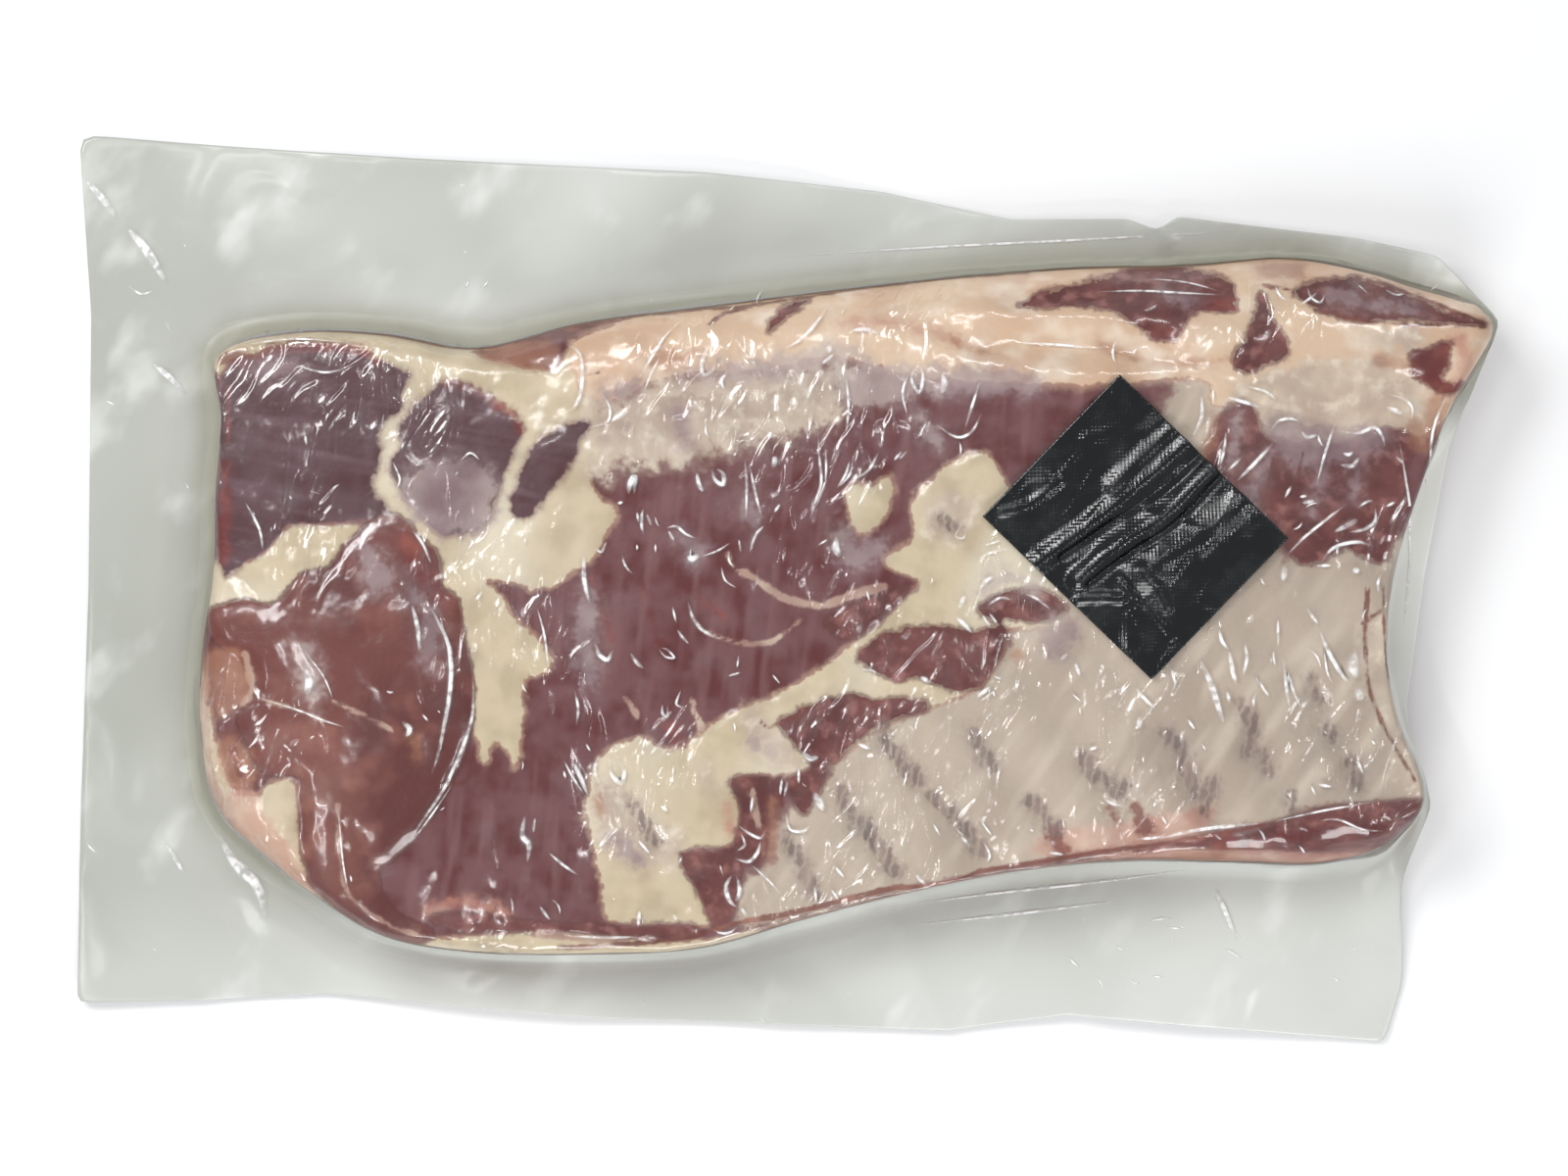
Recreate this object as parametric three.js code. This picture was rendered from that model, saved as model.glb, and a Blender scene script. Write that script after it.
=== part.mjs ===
// A side of raw bone-in pork belly, rib side up, drawn down in a clear vacuum pouch.
//
// The slab of meat and the film round it are one closed solid: a flat underside, a lumpy top
// face, sloping sides, and the pouch's thin wavy margins that run out from the foot of the meat.
// A square patch of black cloth lies on the top face as a solid of its own.
//
// Millimetres, +Z up. The origin is on the table, under the middle of the pouch. +X points to
// the rib end, where the film is pulled to two tips, and +Y to the edge with the rolled fat.

import * as THREE from 'three';

const { clamp, lerp, smoothstep } = THREE.MathUtils;

// ---- driving dimensions ---------------------------------------------------------------------

const FILM_THICKNESS = 1.2;
const FILM_REST_HEIGHT = 4.4;
const FOOT_HEIGHT = 1.6;
const THIN_END = { x: -250, thickness: 31 };
const RIB_END = { x: 260, thickness: 39 };

// The foot of the meat, clockwise from its far thin corner: its place, the width of the side
// that slopes up from it, and how far the film leaves the meat above the table.
const FOOT = [
  { x: -242, y: 100, slope: 6, lift: 0 },
  { x: -210, y: 110, slope: 10, lift: 0 },
  { x: -168, y: 109, slope: 11, lift: 0 },
  { x: -132, y: 103, slope: 12, lift: 0 },
  { x: -88, y: 114, slope: 27, lift: 0 },
  { x: -34, y: 121, slope: 24, lift: 0 },
  { x: 21, y: 128, slope: 28, lift: 0 },
  { x: 76, y: 134, slope: 39, lift: 0 },
  { x: 130, y: 138, slope: 46, lift: 0 },
  { x: 176, y: 139, slope: 49, lift: 0 },
  { x: 218, y: 142, slope: 50, lift: 0 },
  { x: 265, y: 130, slope: 33, lift: 6 },
  { x: 299, y: 113, slope: 14, lift: 24 },
  { x: 282, y: 77, slope: 6, lift: 16 },
  { x: 269, y: 42, slope: 5, lift: 10 },
  { x: 259, y: 9, slope: 6, lift: 8 },
  { x: 255, y: -23, slope: 5, lift: 8 },
  { x: 259, y: -52, slope: 5, lift: 12 },
  { x: 270, y: -89, slope: 4, lift: 24 },
  { x: 259, y: -107, slope: 16, lift: 8 },
  { x: 235, y: -117, slope: 22, lift: 0 },
  { x: 193, y: -117, slope: 14, lift: 0 },
  { x: 147, y: -116, slope: 7, lift: 0 },
  { x: 101, y: -120, slope: 4, lift: 0 },
  { x: 55, y: -129, slope: 4, lift: 0 },
  { x: 8, y: -141, slope: 5, lift: 0 },
  { x: -34, y: -153, slope: 6, lift: 0 },
  { x: -84, y: -156, slope: 8, lift: 0 },
  { x: -134, y: -155, slope: 9, lift: 0 },
  { x: -172, y: -148, slope: 9, lift: 0 },
  { x: -197, y: -133, slope: 10, lift: 0 },
  { x: -223, y: -113, slope: 14, lift: 0 },
  { x: -243, y: -92, slope: 16, lift: 0 },
  { x: -249, y: -60, slope: 14, lift: 0 },
  { x: -248, y: -25, slope: 10, lift: 0 },
  { x: -243, y: 9, slope: 7, lift: 0 },
  { x: -242, y: 42, slope: 5, lift: 0 },
  { x: -239, y: 72, slope: 4, lift: 0 },
];

// The places in FOOT where the slab's four sides meet.
const CORNERS = { farThin: 0, farTip: 12, nearTip: 18, nearThin: 31 };

// The cut edge of the pouch, clockwise. `at` is the place along FOOT that a point looks out
// from, and `lift` is its height above the margin's usual one.
const FILM_EDGE = [
  { x: -301, y: 194, at: 0, lift: 0 },
  { x: -160, y: 184, at: 2, lift: 0 },
  { x: -34, y: 178, at: 5, lift: 0 },
  { x: 42, y: 170, at: 6.3, lift: 0 },
  { x: 97, y: 158, at: 7.4, lift: 0 },
  { x: 147, y: 158, at: 8.6, lift: 1 },
  { x: 159, y: 153, at: 8.9, lift: 3 },
  { x: 168, y: 159, at: 9.1, lift: 1 },
  { x: 244, y: 150, at: 10.6, lift: 0 },
  { x: 278, y: 142, at: 11.3, lift: 6 },
  { x: 302, y: 113, at: 12, lift: 22 },
  { x: 289, y: 76, at: 13, lift: 11 },
  { x: 277, y: 5, at: 15, lift: 1 },
  { x: 269, y: -50, at: 17, lift: 4 },
  { x: 273, y: -92, at: 18, lift: 21 },
  { x: 262, y: -126, at: 18.8, lift: 7 },
  { x: 265, y: -168, at: 19.4, lift: 0 },
  { x: 257, y: -194, at: 20, lift: 0 },
  { x: 189, y: -188, at: 21.5, lift: 0 },
  { x: 122, y: -182, at: 23, lift: 0 },
  { x: 69, y: -189, at: 24, lift: 0 },
  { x: -84, y: -183, at: 27, lift: 0 },
  { x: -197, y: -173, at: 29.5, lift: 0 },
  { x: -252, y: -176, at: 30.3, lift: 0 },
  { x: -302, y: -177, at: 31, lift: 0 },
  { x: -301, y: -92, at: 33, lift: 0 },
  { x: -297, y: 0, at: 35, lift: 0 },
  { x: -296, y: 118, at: 37, lift: 0 },
];

// Ribs under the pale skin: the gaps between them sink, and slant as they run to the near edge.
const RIBS = {
  pitch: 36.3,
  firstGap: new THREE.Vector2(-9, -81),
  slant: 0.7,
  height: 1.5,
  fadeX: [-20, 20],
  fadeY: [10, -30],
};

// Swells of muscle and fat on the top face: centre, half sizes and height.
const SWELLS = [
  { x: -197, y: 61, halfX: 42, halfY: 34, height: 2.2 },
  { x: -137, y: 58, halfX: 27, halfY: 34, height: 1.8 },
  { x: -98, y: 54, halfX: 16, halfY: 26, height: 1.4 },
  { x: -16, y: 33, halfX: 85, halfY: 50, height: 2 },
  { x: 221, y: 41, halfX: 44, halfY: 28, height: 1.4 },
  { x: 64, y: -28, halfX: 30, halfY: 15, height: 1.8 },
  { x: 25, y: -57, halfX: 34, halfY: 17, height: 1.6 },
  { x: -104, y: 17, halfX: 34, halfY: 20, height: 2 },
  { x: -209, y: 12, halfX: 34, halfY: 13, height: 1.6 },
  { x: -45, y: -94, halfX: 42, halfY: 40, height: 1.8 },
];

// The thick lobe of red muscle at the thin end, which stands over the fat beside it.
const LOBE = { x: -183, y: -60, halfX: 56, halfY: 66, height: 4, edge: 0.3 };

// The belly's edge fat lies in rolls on both sides of a crease. `side` is how far a roll's
// middle, or the crease itself, lies from the crease's line, towards the far edge.
const CREASE = {
  from: new THREE.Vector2(62, 110),
  to: new THREE.Vector2(190, 95),
  folds: [
    { side: -16, halfWidth: 16, height: 4 },
    { side: 0, halfWidth: 6, height: -4 },
    { side: 9, halfWidth: 10, height: 4 },
  ],
};

// Long gentle waves, each with its height and the lengths it turns over along X and Y.
const SLAB_WAVES = [
  { height: 0.5, x: 19, y: 27, shift: 0 },
  { height: 0.4, x: 31, y: -15, shift: 2 },
];
const MARGIN_WAVES = [
  { height: 1.5, x: 41, y: 63, shift: 0.8 },
  { height: 1.1, x: 24, y: -33, shift: 1.4 },
];

// The patch: its middle, its sides, and how far its long side turns clockwise.
const PATCH = {
  x: 146.6,
  y: 25.8,
  length: 98,
  width: 82,
  turn: THREE.MathUtils.degToRad(-44),
  thickness: 0.8,
  gap: 0.8,
};

// Folds pressed across the patch: place along it, half width, height, and how far they bow.
const PATCH_FOLDS = [
  { along: -20, halfWidth: 6, height: 1.5, bow: 3 },
  { along: 0, halfWidth: 5, height: 2.4, bow: 3 },
  { along: 14, halfWidth: 7, height: 1.2, bow: 1 },
];

// ---- how finely the surface is divided ------------------------------------------------------

const CELLS_ALONG = 56;
const CELLS_ACROSS = 26;
const SIDE_RINGS = 7;
const MARGIN_RINGS = 5;
const SIDE_ROUNDNESS = 2.3;
const CURVE_STEPS = 40;
const TURN_REACH = 1;
const HEEL_INSET = 5;
const HEEL_INSET_PER_LIFT = 1 / 3;
const PATCH_CELLS_ALONG = 20;
const PATCH_CELLS_ACROSS = 17;

// ---- the top face ---------------------------------------------------------------------------

/** The sum of a value worked out for each thing in a list. */
function sumOf(list, value) {
  return list.reduce((sum, item) => sum + value(item), 0);
}

/** A rounded hill: 1 in the middle of an ellipse, falling to 0 at its edge. */
function swell(x, y, { x: cx, y: cy, halfX, halfY }) {
  const reach = Math.hypot((x - cx) / halfX, (y - cy) / halfY);
  return reach < 1 ? (1 - reach * reach) ** 2 : 0;
}

/** Ridges over the ribs and dips between them. */
function ribRelief(x, y) {
  const run = x - RIBS.firstGap.x + RIBS.slant * (y - RIBS.firstGap.y);
  const fade = smoothstep(x, ...RIBS.fadeX) * smoothstep(-y, ...RIBS.fadeY.map((edge) => -edge));
  return -RIBS.height * Math.cos((2 * Math.PI * run) / RIBS.pitch) * fade;
}

/** The lobe's flat top with a short round edge. */
function lobeRelief(x, y) {
  const reach = Math.hypot((x - LOBE.x) / LOBE.halfX, (y - LOBE.y) / LOBE.halfY);
  return LOBE.height * (1 - smoothstep(reach, 1 - LOBE.edge, 1 + LOBE.edge / 2));
}

/** A rounded ridge or trough: 1 on its line, 0 a half width away. */
function ridge(distance, halfWidth) {
  const reach = Math.abs(distance) / halfWidth;
  return reach < 1 ? 0.5 + 0.5 * Math.cos(Math.PI * reach) : 0;
}

/** The rolls of edge fat and the crease between them, fading out past the crease's ends. */
function rollRelief(x, y) {
  const run = CREASE.to.clone().sub(CREASE.from);
  const place = new THREE.Vector2(x, y).sub(CREASE.from);
  const along = place.dot(run) / run.lengthSq();
  const side = run.cross(place) / run.length();
  const fade = smoothstep(along, -0.15, 0.1) * (1 - smoothstep(along, 0.9, 1.2));
  return fade * sumOf(CREASE.folds, (fold) => fold.height * ridge(side - fold.side, fold.halfWidth));
}

/** The height of a set of waves at a place. */
function waveHeight(waves, x, y) {
  return sumOf(waves, (wave) => wave.height * Math.sin(x / wave.x + y / wave.y + wave.shift));
}

/** Height of the meat above the table, before its sides fall away. */
function slabHeight(x, y) {
  const along = clamp((x - THIN_END.x) / (RIB_END.x - THIN_END.x), 0, 1);
  const thickness = lerp(THIN_END.thickness, RIB_END.thickness, along);
  const swells = sumOf(SWELLS, (hill) => hill.height * swell(x, y, hill));
  const uneven = waveHeight(SLAB_WAVES, x, y);
  return thickness + swells + uneven + ribRelief(x, y) + lobeRelief(x, y) + rollRelief(x, y);
}

/** Height of the upper face of the loose film where nothing lifts it. */
function marginHeight(x, y) {
  return FILM_REST_HEIGHT + waveHeight(MARGIN_WAVES, x, y);
}

// ---- outlines -------------------------------------------------------------------------------

const footCurve = new THREE.CatmullRomCurve3(
  FOOT.map(({ x, y }) => new THREE.Vector3(x, y, 0)),
  true,
  'centripetal',
);

/** The foot's outline at a place counted in FOOT's own steps, round and round. */
function footPoint(at) {
  return footCurve.getPoint(THREE.MathUtils.euclideanModulo(at / FOOT.length, 1));
}

/** A value given at each place of FOOT, read anywhere between two places. */
function alongFoot(name, at) {
  const before = Math.floor(at);
  const here = FOOT[before % FOOT.length][name];
  const next = FOOT[(before + 1) % FOOT.length][name];
  return lerp(here, next, smoothstep(at - before, 0, 1));
}

/** The point of the film's cut edge that a place along the foot looks out at. */
function edgePoint(at) {
  const next = FILM_EDGE.findIndex((point) => point.at > at);
  const from = FILM_EDGE.at(next < 0 ? -1 : next - 1);
  const to = next < 0 ? { ...FILM_EDGE[0], at: FOOT.length } : FILM_EDGE[next];
  const part = (at - from.at) / (to.at - from.at);
  const between = (name) => lerp(from[name], to[name], part);
  return { x: between('x'), y: between('y'), lift: between('lift') };
}

/** Places between two corners of the foot, evenly spaced along it. The last one is left out. */
function evenPlaces(first, last, count) {
  const steps = (last - first) * CURVE_STEPS;
  const places = Array.from({ length: steps + 1 }, (_, i) => first + (i * (last - first)) / steps);
  const points = places.map(footPoint);
  const lengths = [0];
  for (let i = 1; i <= steps; i += 1) {
    lengths.push(lengths[i - 1] + points[i].distanceTo(points[i - 1]));
  }
  return Array.from({ length: count }, (_, k) => {
    const wanted = (lengths[steps] * k) / count;
    const i = lengths.findIndex((length) => length > wanted);
    const part = (wanted - lengths[i - 1]) / (lengths[i] - lengths[i - 1]);
    return lerp(places[i - 1], places[i], part);
  });
}

/** The lines that run out from the top face: where each crosses the rim, the foot and the edge. */
function surveyLines() {
  const { farThin, farTip, nearTip, nearThin } = CORNERS;
  const places = [
    ...evenPlaces(farThin, farTip, CELLS_ALONG),
    ...evenPlaces(farTip, nearTip, CELLS_ACROSS),
    ...evenPlaces(nearTip, nearThin, CELLS_ALONG),
    ...evenPlaces(nearThin, FOOT.length, CELLS_ACROSS),
  ];
  const lines = places.map((at) => {
    const foot = footPoint(at);
    const along = footPoint(at + TURN_REACH).sub(footPoint(at - TURN_REACH)).normalize();
    const inward = new THREE.Vector3(along.y, -along.x, 0);
    const slope = alongFoot('slope', at);
    const lift = alongFoot('lift', at);
    const rim = foot.clone().addScaledVector(inward, slope);
    return { at, foot, inward, lift, rim, edge: edgePoint(at) };
  });
  for (const point of FILM_EDGE) {
    const away = lines.map((line) => Math.abs(line.at - point.at));
    lines[away.indexOf(Math.min(...away))].edge = point;
  }
  return lines;
}

// ---- the pouch ------------------------------------------------------------------------------

/** A growing list of corners and triangles that becomes one closed mesh. */
class Surface {
  constructor() {
    this.corners = [];
    this.triangles = [];
  }

  corner(x, y, z) {
    this.corners.push(x, y, z);
    return this.corners.length / 3 - 1;
  }

  /** Two triangles, given anticlockwise as seen from outside. */
  quad(a, b, c, d) {
    this.triangles.push(a, b, c, a, c, d);
  }

  /** Joins a closed ring to the next one out. Rings run clockwise as seen from outside. */
  band(inner, outer) {
    inner.forEach((corner, i) => {
      const next = (i + 1) % inner.length;
      this.quad(corner, inner[next], outer[next], outer[i]);
    });
  }

  geometry() {
    const geometry = new THREE.BufferGeometry();
    geometry.setAttribute('position', new THREE.Float32BufferAttribute(this.corners, 3));
    geometry.setIndex(this.triangles);
    geometry.computeVertexNormals();
    return geometry;
  }
}

/** The point of a four-sided face whose sides are the rim's four stretches. */
function insideRim(rim, column, row) {
  const right = CELLS_ALONG;
  const near = CELLS_ALONG + CELLS_ACROSS;
  const left = 2 * CELLS_ALONG + CELLS_ACROSS;
  const u = column / CELLS_ALONG;
  const v = row / CELLS_ACROSS;
  const point = new THREE.Vector3();
  point.addScaledVector(rim[column], 1 - v);
  point.addScaledVector(rim[left - column], v);
  point.addScaledVector(rim[(left + CELLS_ACROSS - row) % rim.length], 1 - u);
  point.addScaledVector(rim[right + row], u);
  point.addScaledVector(rim[0], -(1 - u) * (1 - v));
  point.addScaledVector(rim[right], -u * (1 - v));
  point.addScaledVector(rim[near], -u * v);
  point.addScaledVector(rim[left], -(1 - u) * v);
  return point;
}

/** Fills the rim with a grid of cells, whose outermost corners are the rim's own. */
function addTopFace(surface, rim, rimCorners) {
  const ring = rimCorners.length;
  const cornerAt = (column, row) => {
    if (row === 0) return rimCorners[column];
    if (column === CELLS_ALONG) return rimCorners[CELLS_ALONG + row];
    if (row === CELLS_ACROSS) return rimCorners[2 * CELLS_ALONG + CELLS_ACROSS - column];
    if (column === 0) return rimCorners[(ring - row) % ring];
    return null;
  };
  const grid = [];
  for (let row = 0; row <= CELLS_ACROSS; row += 1) {
    grid.push([]);
    for (let column = 0; column <= CELLS_ALONG; column += 1) {
      const shared = cornerAt(column, row);
      const { x, y } = insideRim(rim, column, row);
      grid[row].push(shared ?? surface.corner(x, y, slabHeight(x, y)));
    }
  }
  for (let row = 0; row < CELLS_ACROSS; row += 1) {
    for (let column = 0; column < CELLS_ALONG; column += 1) {
      const [far, near] = [grid[row], grid[row + 1]];
      surface.quad(near[column], near[column + 1], far[column + 1], far[column]);
    }
  }
}

/** The meat's side: rings that fall from the rim to the foot in a rounded slope. */
function addSide(surface, lines, rimCorners) {
  let inner = rimCorners;
  for (let k = 1; k <= SIDE_RINGS; k += 1) {
    const out = Math.sin((Math.PI / 2) * (k / SIDE_RINGS));
    const fall = (1 - out ** SIDE_ROUNDNESS) ** (1 / SIDE_ROUNDNESS);
    const outer = lines.map(({ rim, foot, lift }) => {
      const { x, y } = rim.clone().lerp(foot, out);
      const footHeight = FOOT_HEIGHT + lift;
      return surface.corner(x, y, footHeight + (slabHeight(x, y) - footHeight) * fall);
    });
    surface.band(inner, outer);
    inner = outer;
  }
  return inner;
}

/** Places of one margin ring, out from the foot by a part of the way to the cut edge. */
function marginRing(surface, lines, part, drop) {
  return lines.map(({ foot, lift, edge }) => {
    const x = lerp(foot.x, edge.x, part);
    const y = lerp(foot.y, edge.y, part);
    const outer = marginHeight(x, y) + edge.lift;
    return surface.corner(x, y, lerp(FOOT_HEIGHT + lift, outer, smoothstep(part, 0, 1)) - drop);
  });
}

/** The loose film round the meat, upper and lower face, closed at the cut edge. */
function addMargin(surface, footCorners, lines) {
  let inner = footCorners;
  for (let k = 1; k <= MARGIN_RINGS; k += 1) {
    const outer = marginRing(surface, lines, k / MARGIN_RINGS, 0);
    surface.band(inner, outer);
    inner = outer;
  }
  for (let k = MARGIN_RINGS; k >= 0; k -= 1) {
    const under = marginRing(surface, lines, k / MARGIN_RINGS, FILM_THICKNESS);
    surface.band(inner, under);
    inner = under;
  }
  return inner;
}

/** The flat face that the pack lies on, drawn in from the foot. */
function addUnderside(surface, footUnder, lines) {
  const heel = lines.map(({ foot, inward, lift }) => (
    foot.clone().addScaledVector(inward, HEEL_INSET + HEEL_INSET_PER_LIFT * lift)
  ));
  const heelCorners = heel.map(({ x, y }) => surface.corner(x, y, 0));
  surface.band(footUnder, heelCorners);
  const outline = heel.map(({ x, y }) => new THREE.Vector2(x, y));
  for (const [a, b, c] of THREE.ShapeUtils.triangulateShape(outline, [])) {
    const clockwise = new THREE.Vector2().subVectors(outline[b], outline[a])
      .cross(new THREE.Vector2().subVectors(outline[c], outline[a])) < 0;
    surface.triangles.push(...[a, clockwise ? b : c, clockwise ? c : b].map((i) => heelCorners[i]));
  }
}

function makePouch() {
  const surface = new Surface();
  const lines = surveyLines();
  const rim = lines.map((line) => line.rim);
  const rimCorners = rim.map(({ x, y }) => surface.corner(x, y, slabHeight(x, y)));
  addTopFace(surface, rim, rimCorners);
  const footCorners = addSide(surface, lines, rimCorners);
  const footUnder = addMargin(surface, footCorners, lines);
  addUnderside(surface, footUnder, lines);
  const film = new THREE.MeshStandardMaterial({ color: '#b79f98', roughness: 0.25, metalness: 0 });
  const mesh = new THREE.Mesh(surface.geometry(), film);
  mesh.name = 'pouch';
  return mesh;
}

// ---- the patch ------------------------------------------------------------------------------

/** How far the folds lift the patch at a place on it. */
function foldHeight(along, across) {
  const middle = Math.cos((Math.PI * across) / PATCH.width);
  return sumOf(PATCH_FOLDS, (fold) => (
    fold.height * ridge(along - fold.along - fold.bow * middle, fold.halfWidth)
  ));
}

/** Rows of corners over one face of the patch, raised off the top face of the pouch. */
function patchFace(surface, raise) {
  const rows = [];
  const middle = new THREE.Vector2(PATCH.x, PATCH.y);
  for (let j = 0; j <= PATCH_CELLS_ACROSS; j += 1) {
    rows.push([]);
    for (let i = 0; i <= PATCH_CELLS_ALONG; i += 1) {
      const along = PATCH.length * (i / PATCH_CELLS_ALONG - 0.5);
      const across = PATCH.width * (j / PATCH_CELLS_ACROSS - 0.5);
      const { x, y } = new THREE.Vector2(along, across)
        .rotateAround(new THREE.Vector2(), PATCH.turn)
        .add(middle);
      rows[j].push(surface.corner(x, y, slabHeight(x, y) + foldHeight(along, across) + raise));
    }
  }
  return rows;
}

/** The corners round the outside of a grid, one after the other. */
function outsideOf(rows) {
  return [
    ...rows[0].slice(0, -1),
    ...rows.slice(0, -1).map((row) => row.at(-1)),
    ...rows.at(-1).slice(1).reverse(),
    ...rows.slice(1).reverse().map((row) => row[0]),
  ];
}

function makePatch() {
  const surface = new Surface();
  const under = patchFace(surface, PATCH.gap);
  const upper = patchFace(surface, PATCH.gap + PATCH.thickness);
  for (let j = 0; j < PATCH_CELLS_ACROSS; j += 1) {
    for (let i = 0; i < PATCH_CELLS_ALONG; i += 1) {
      surface.quad(upper[j][i], upper[j][i + 1], upper[j + 1][i + 1], upper[j + 1][i]);
      surface.quad(under[j][i], under[j + 1][i], under[j + 1][i + 1], under[j][i + 1]);
    }
  }
  surface.band(outsideOf(under), outsideOf(upper));
  const cloth = new THREE.MeshStandardMaterial({ color: '#1f262a', roughness: 0.45, metalness: 0 });
  const mesh = new THREE.Mesh(surface.geometry(), cloth);
  mesh.name = 'patch';
  return mesh;
}

// ---- the pack -------------------------------------------------------------------------------

const pack = new THREE.Group();
pack.add(makePouch(), makePatch());

export default pack;
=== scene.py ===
"""A clear vacuum pack of raw bone-in pork belly, dressed round its fixed solids.

The pouch solid is shown as two pieces that keep its form: the meat inside, and the film that is
drawn down over it. Sharp creases of the film and the black cloth patch are pieces of their own.
The photo looks straight down, so what lies on the meat was traced in photo pixels, and each
place on the meat's mesh knows how deep it lies in each kind of flesh.
"""

from __future__ import annotations

import logging
import math
from collections.abc import Callable, Sequence
from dataclasses import dataclass, field
from enum import Enum

import bpy
import numpy as np
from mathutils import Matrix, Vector
from mathutils.bvhtree import BVHTree

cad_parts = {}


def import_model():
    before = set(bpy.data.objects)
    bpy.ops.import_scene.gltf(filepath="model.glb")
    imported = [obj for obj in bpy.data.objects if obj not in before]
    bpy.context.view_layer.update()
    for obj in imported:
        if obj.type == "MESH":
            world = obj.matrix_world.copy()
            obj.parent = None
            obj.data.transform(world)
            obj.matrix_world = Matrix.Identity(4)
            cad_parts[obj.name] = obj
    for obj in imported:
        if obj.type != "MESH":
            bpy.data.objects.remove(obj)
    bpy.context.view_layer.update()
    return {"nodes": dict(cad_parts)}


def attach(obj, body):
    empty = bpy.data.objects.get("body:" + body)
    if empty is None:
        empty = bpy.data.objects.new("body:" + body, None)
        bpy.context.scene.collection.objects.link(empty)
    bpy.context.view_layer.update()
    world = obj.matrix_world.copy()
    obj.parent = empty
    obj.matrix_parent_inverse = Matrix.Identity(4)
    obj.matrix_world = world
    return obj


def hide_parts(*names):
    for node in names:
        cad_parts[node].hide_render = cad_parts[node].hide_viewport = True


LOG = logging.getLogger("pork_belly_pack")

MM = 0.001
Point = tuple[float, float]
Span = tuple[float, float]
Outline = tuple[Point, ...]
Colour = tuple[float, float, float, float]


def srgb(red: int, green: int, blue: int) -> Colour:
    """The linear colour of one measured with 0 to 255 a channel."""
    parts = [channel / 255 for channel in (red, green, blue)]
    linear = [p / 12.92 if p <= 0.04045 else ((p + 0.055) / 1.055) ** 2.4 for p in parts]
    return (linear[0], linear[1], linear[2], 1.0)


# ---- the photo's view ---------------------------------------------------------------------------


@dataclass(frozen=True)
class PhotoView:
    """The photo's straight-down view, and how its pixels meet the pack's own frame."""

    width: int = 1600
    height: int = 1200
    middle: Point = (800.0, 601.0)
    metres_a_pixel: float = 0.42 * MM
    camera_height: float = 1.5

    def pixels(self, places: np.ndarray) -> np.ndarray:
        """Where places show in the photo.

        Args:
            places: Rows of X, Y and Z in metres.

        Returns:
            Rows of photo pixels, x to the right and y down.
        """
        nearer = self.camera_height / (self.camera_height - places[:, 2])
        x = self.middle[0] + places[:, 0] * nearer / self.metres_a_pixel
        y = self.middle[1] - places[:, 1] * nearer / self.metres_a_pixel
        return np.column_stack([x, y])

    def place(self, pixel: Point, height: float) -> Point:
        """The X and Y of what shows at a pixel and lies at a height above the table."""
        nearer = (self.camera_height - height) / self.camera_height
        x = (pixel[0] - self.middle[0]) * self.metres_a_pixel * nearer
        y = (self.middle[1] - pixel[1]) * self.metres_a_pixel * nearer
        return (x, y)


VIEW = PhotoView()
# The height of most of what shows on the pack, and how far from an outline its depth is measured.
TOP_HEIGHT = 30 * MM
FAR_PIXELS = 30.0


# ---- what shows on the meat ---------------------------------------------------------------------


class Tissue(Enum):
    """What lies on the main muscle, in the order in which one covers another."""

    SKIN = "skin"
    FAT = "fat"
    PEACH_FAT = "peach_fat"
    GREY_FAT = "grey_fat"
    PINK_FAT = "pink_fat"
    BLUISH = "bluish"
    LOBE = "lobe"
    LOBE_PALE = "lobe_pale"
    DARK = "dark"
    BLOOD = "blood"
    GAP = "gap"
    MEMBRANE = "membrane"
    VEIN = "vein"
    AMBER = "amber"
    # Thin dark lines: mostly painted shade in folds and along edges, a few brown lines of tissue.
    THREAD = "thread"


@dataclass(frozen=True)
class Patchwork:
    """All areas and streaks of one tissue, in photo pixels.

    `areas` are closed outlines. `streaks` are open lines, each with its width.
    """

    areas: tuple[Outline, ...] = ()
    streaks: tuple[tuple[float, Outline], ...] = ()


SKIN_OVER_RIBS: Outline = (
    (753, 942), (757, 905), (790, 880), (800, 835), (842, 800), (860, 775), (900, 742),
    (950, 722), (1000, 700), (1030, 660), (1060, 620), (1150, 560), (1240, 560), (1300, 575),
    (1330, 562), (1360, 550), (1411, 556), (1440, 560), (1450, 700), (1470, 800), (1447, 816),
    (1353, 821), (1290, 838), (1217, 848), (1161, 859), (1069, 877), (998, 892), (914, 909),
    (830, 932), (790, 940),
)
SKIN_BY_PATCH: Outline = (
    (1180, 470), (1197, 399), (1225, 380), (1270, 372), (1290, 400), (1245, 425), (1237, 451),
    (1240, 500), (1300, 545), (1300, 600), (1200, 600),
)
FAT_ACROSS: Outline = (
    (1003, 462), (967, 476), (939, 502), (930, 521), (933, 549), (911, 563), (905, 577),
    (936, 592), (919, 614), (891, 640), (844, 678), (815, 697), (788, 713), (748, 726),
    (721, 746), (683, 765), (651, 754), (614, 772), (600, 815), (606, 868), (616, 909),
    (622, 941), (686, 944), (721, 943), (724, 935), (710, 906), (694, 871), (732, 866),
    (748, 855), (753, 839), (753, 815), (748, 793), (801, 788), (828, 783), (855, 774),
    (900, 742), (950, 722), (1000, 700), (1025, 662), (1030, 640), (1094, 634), (1050, 560),
    (1030, 500),
)
FAT_FLECK: Outline = ((863, 499), (891, 496), (908, 485), (911, 504), (902, 527), (877, 544))
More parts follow.
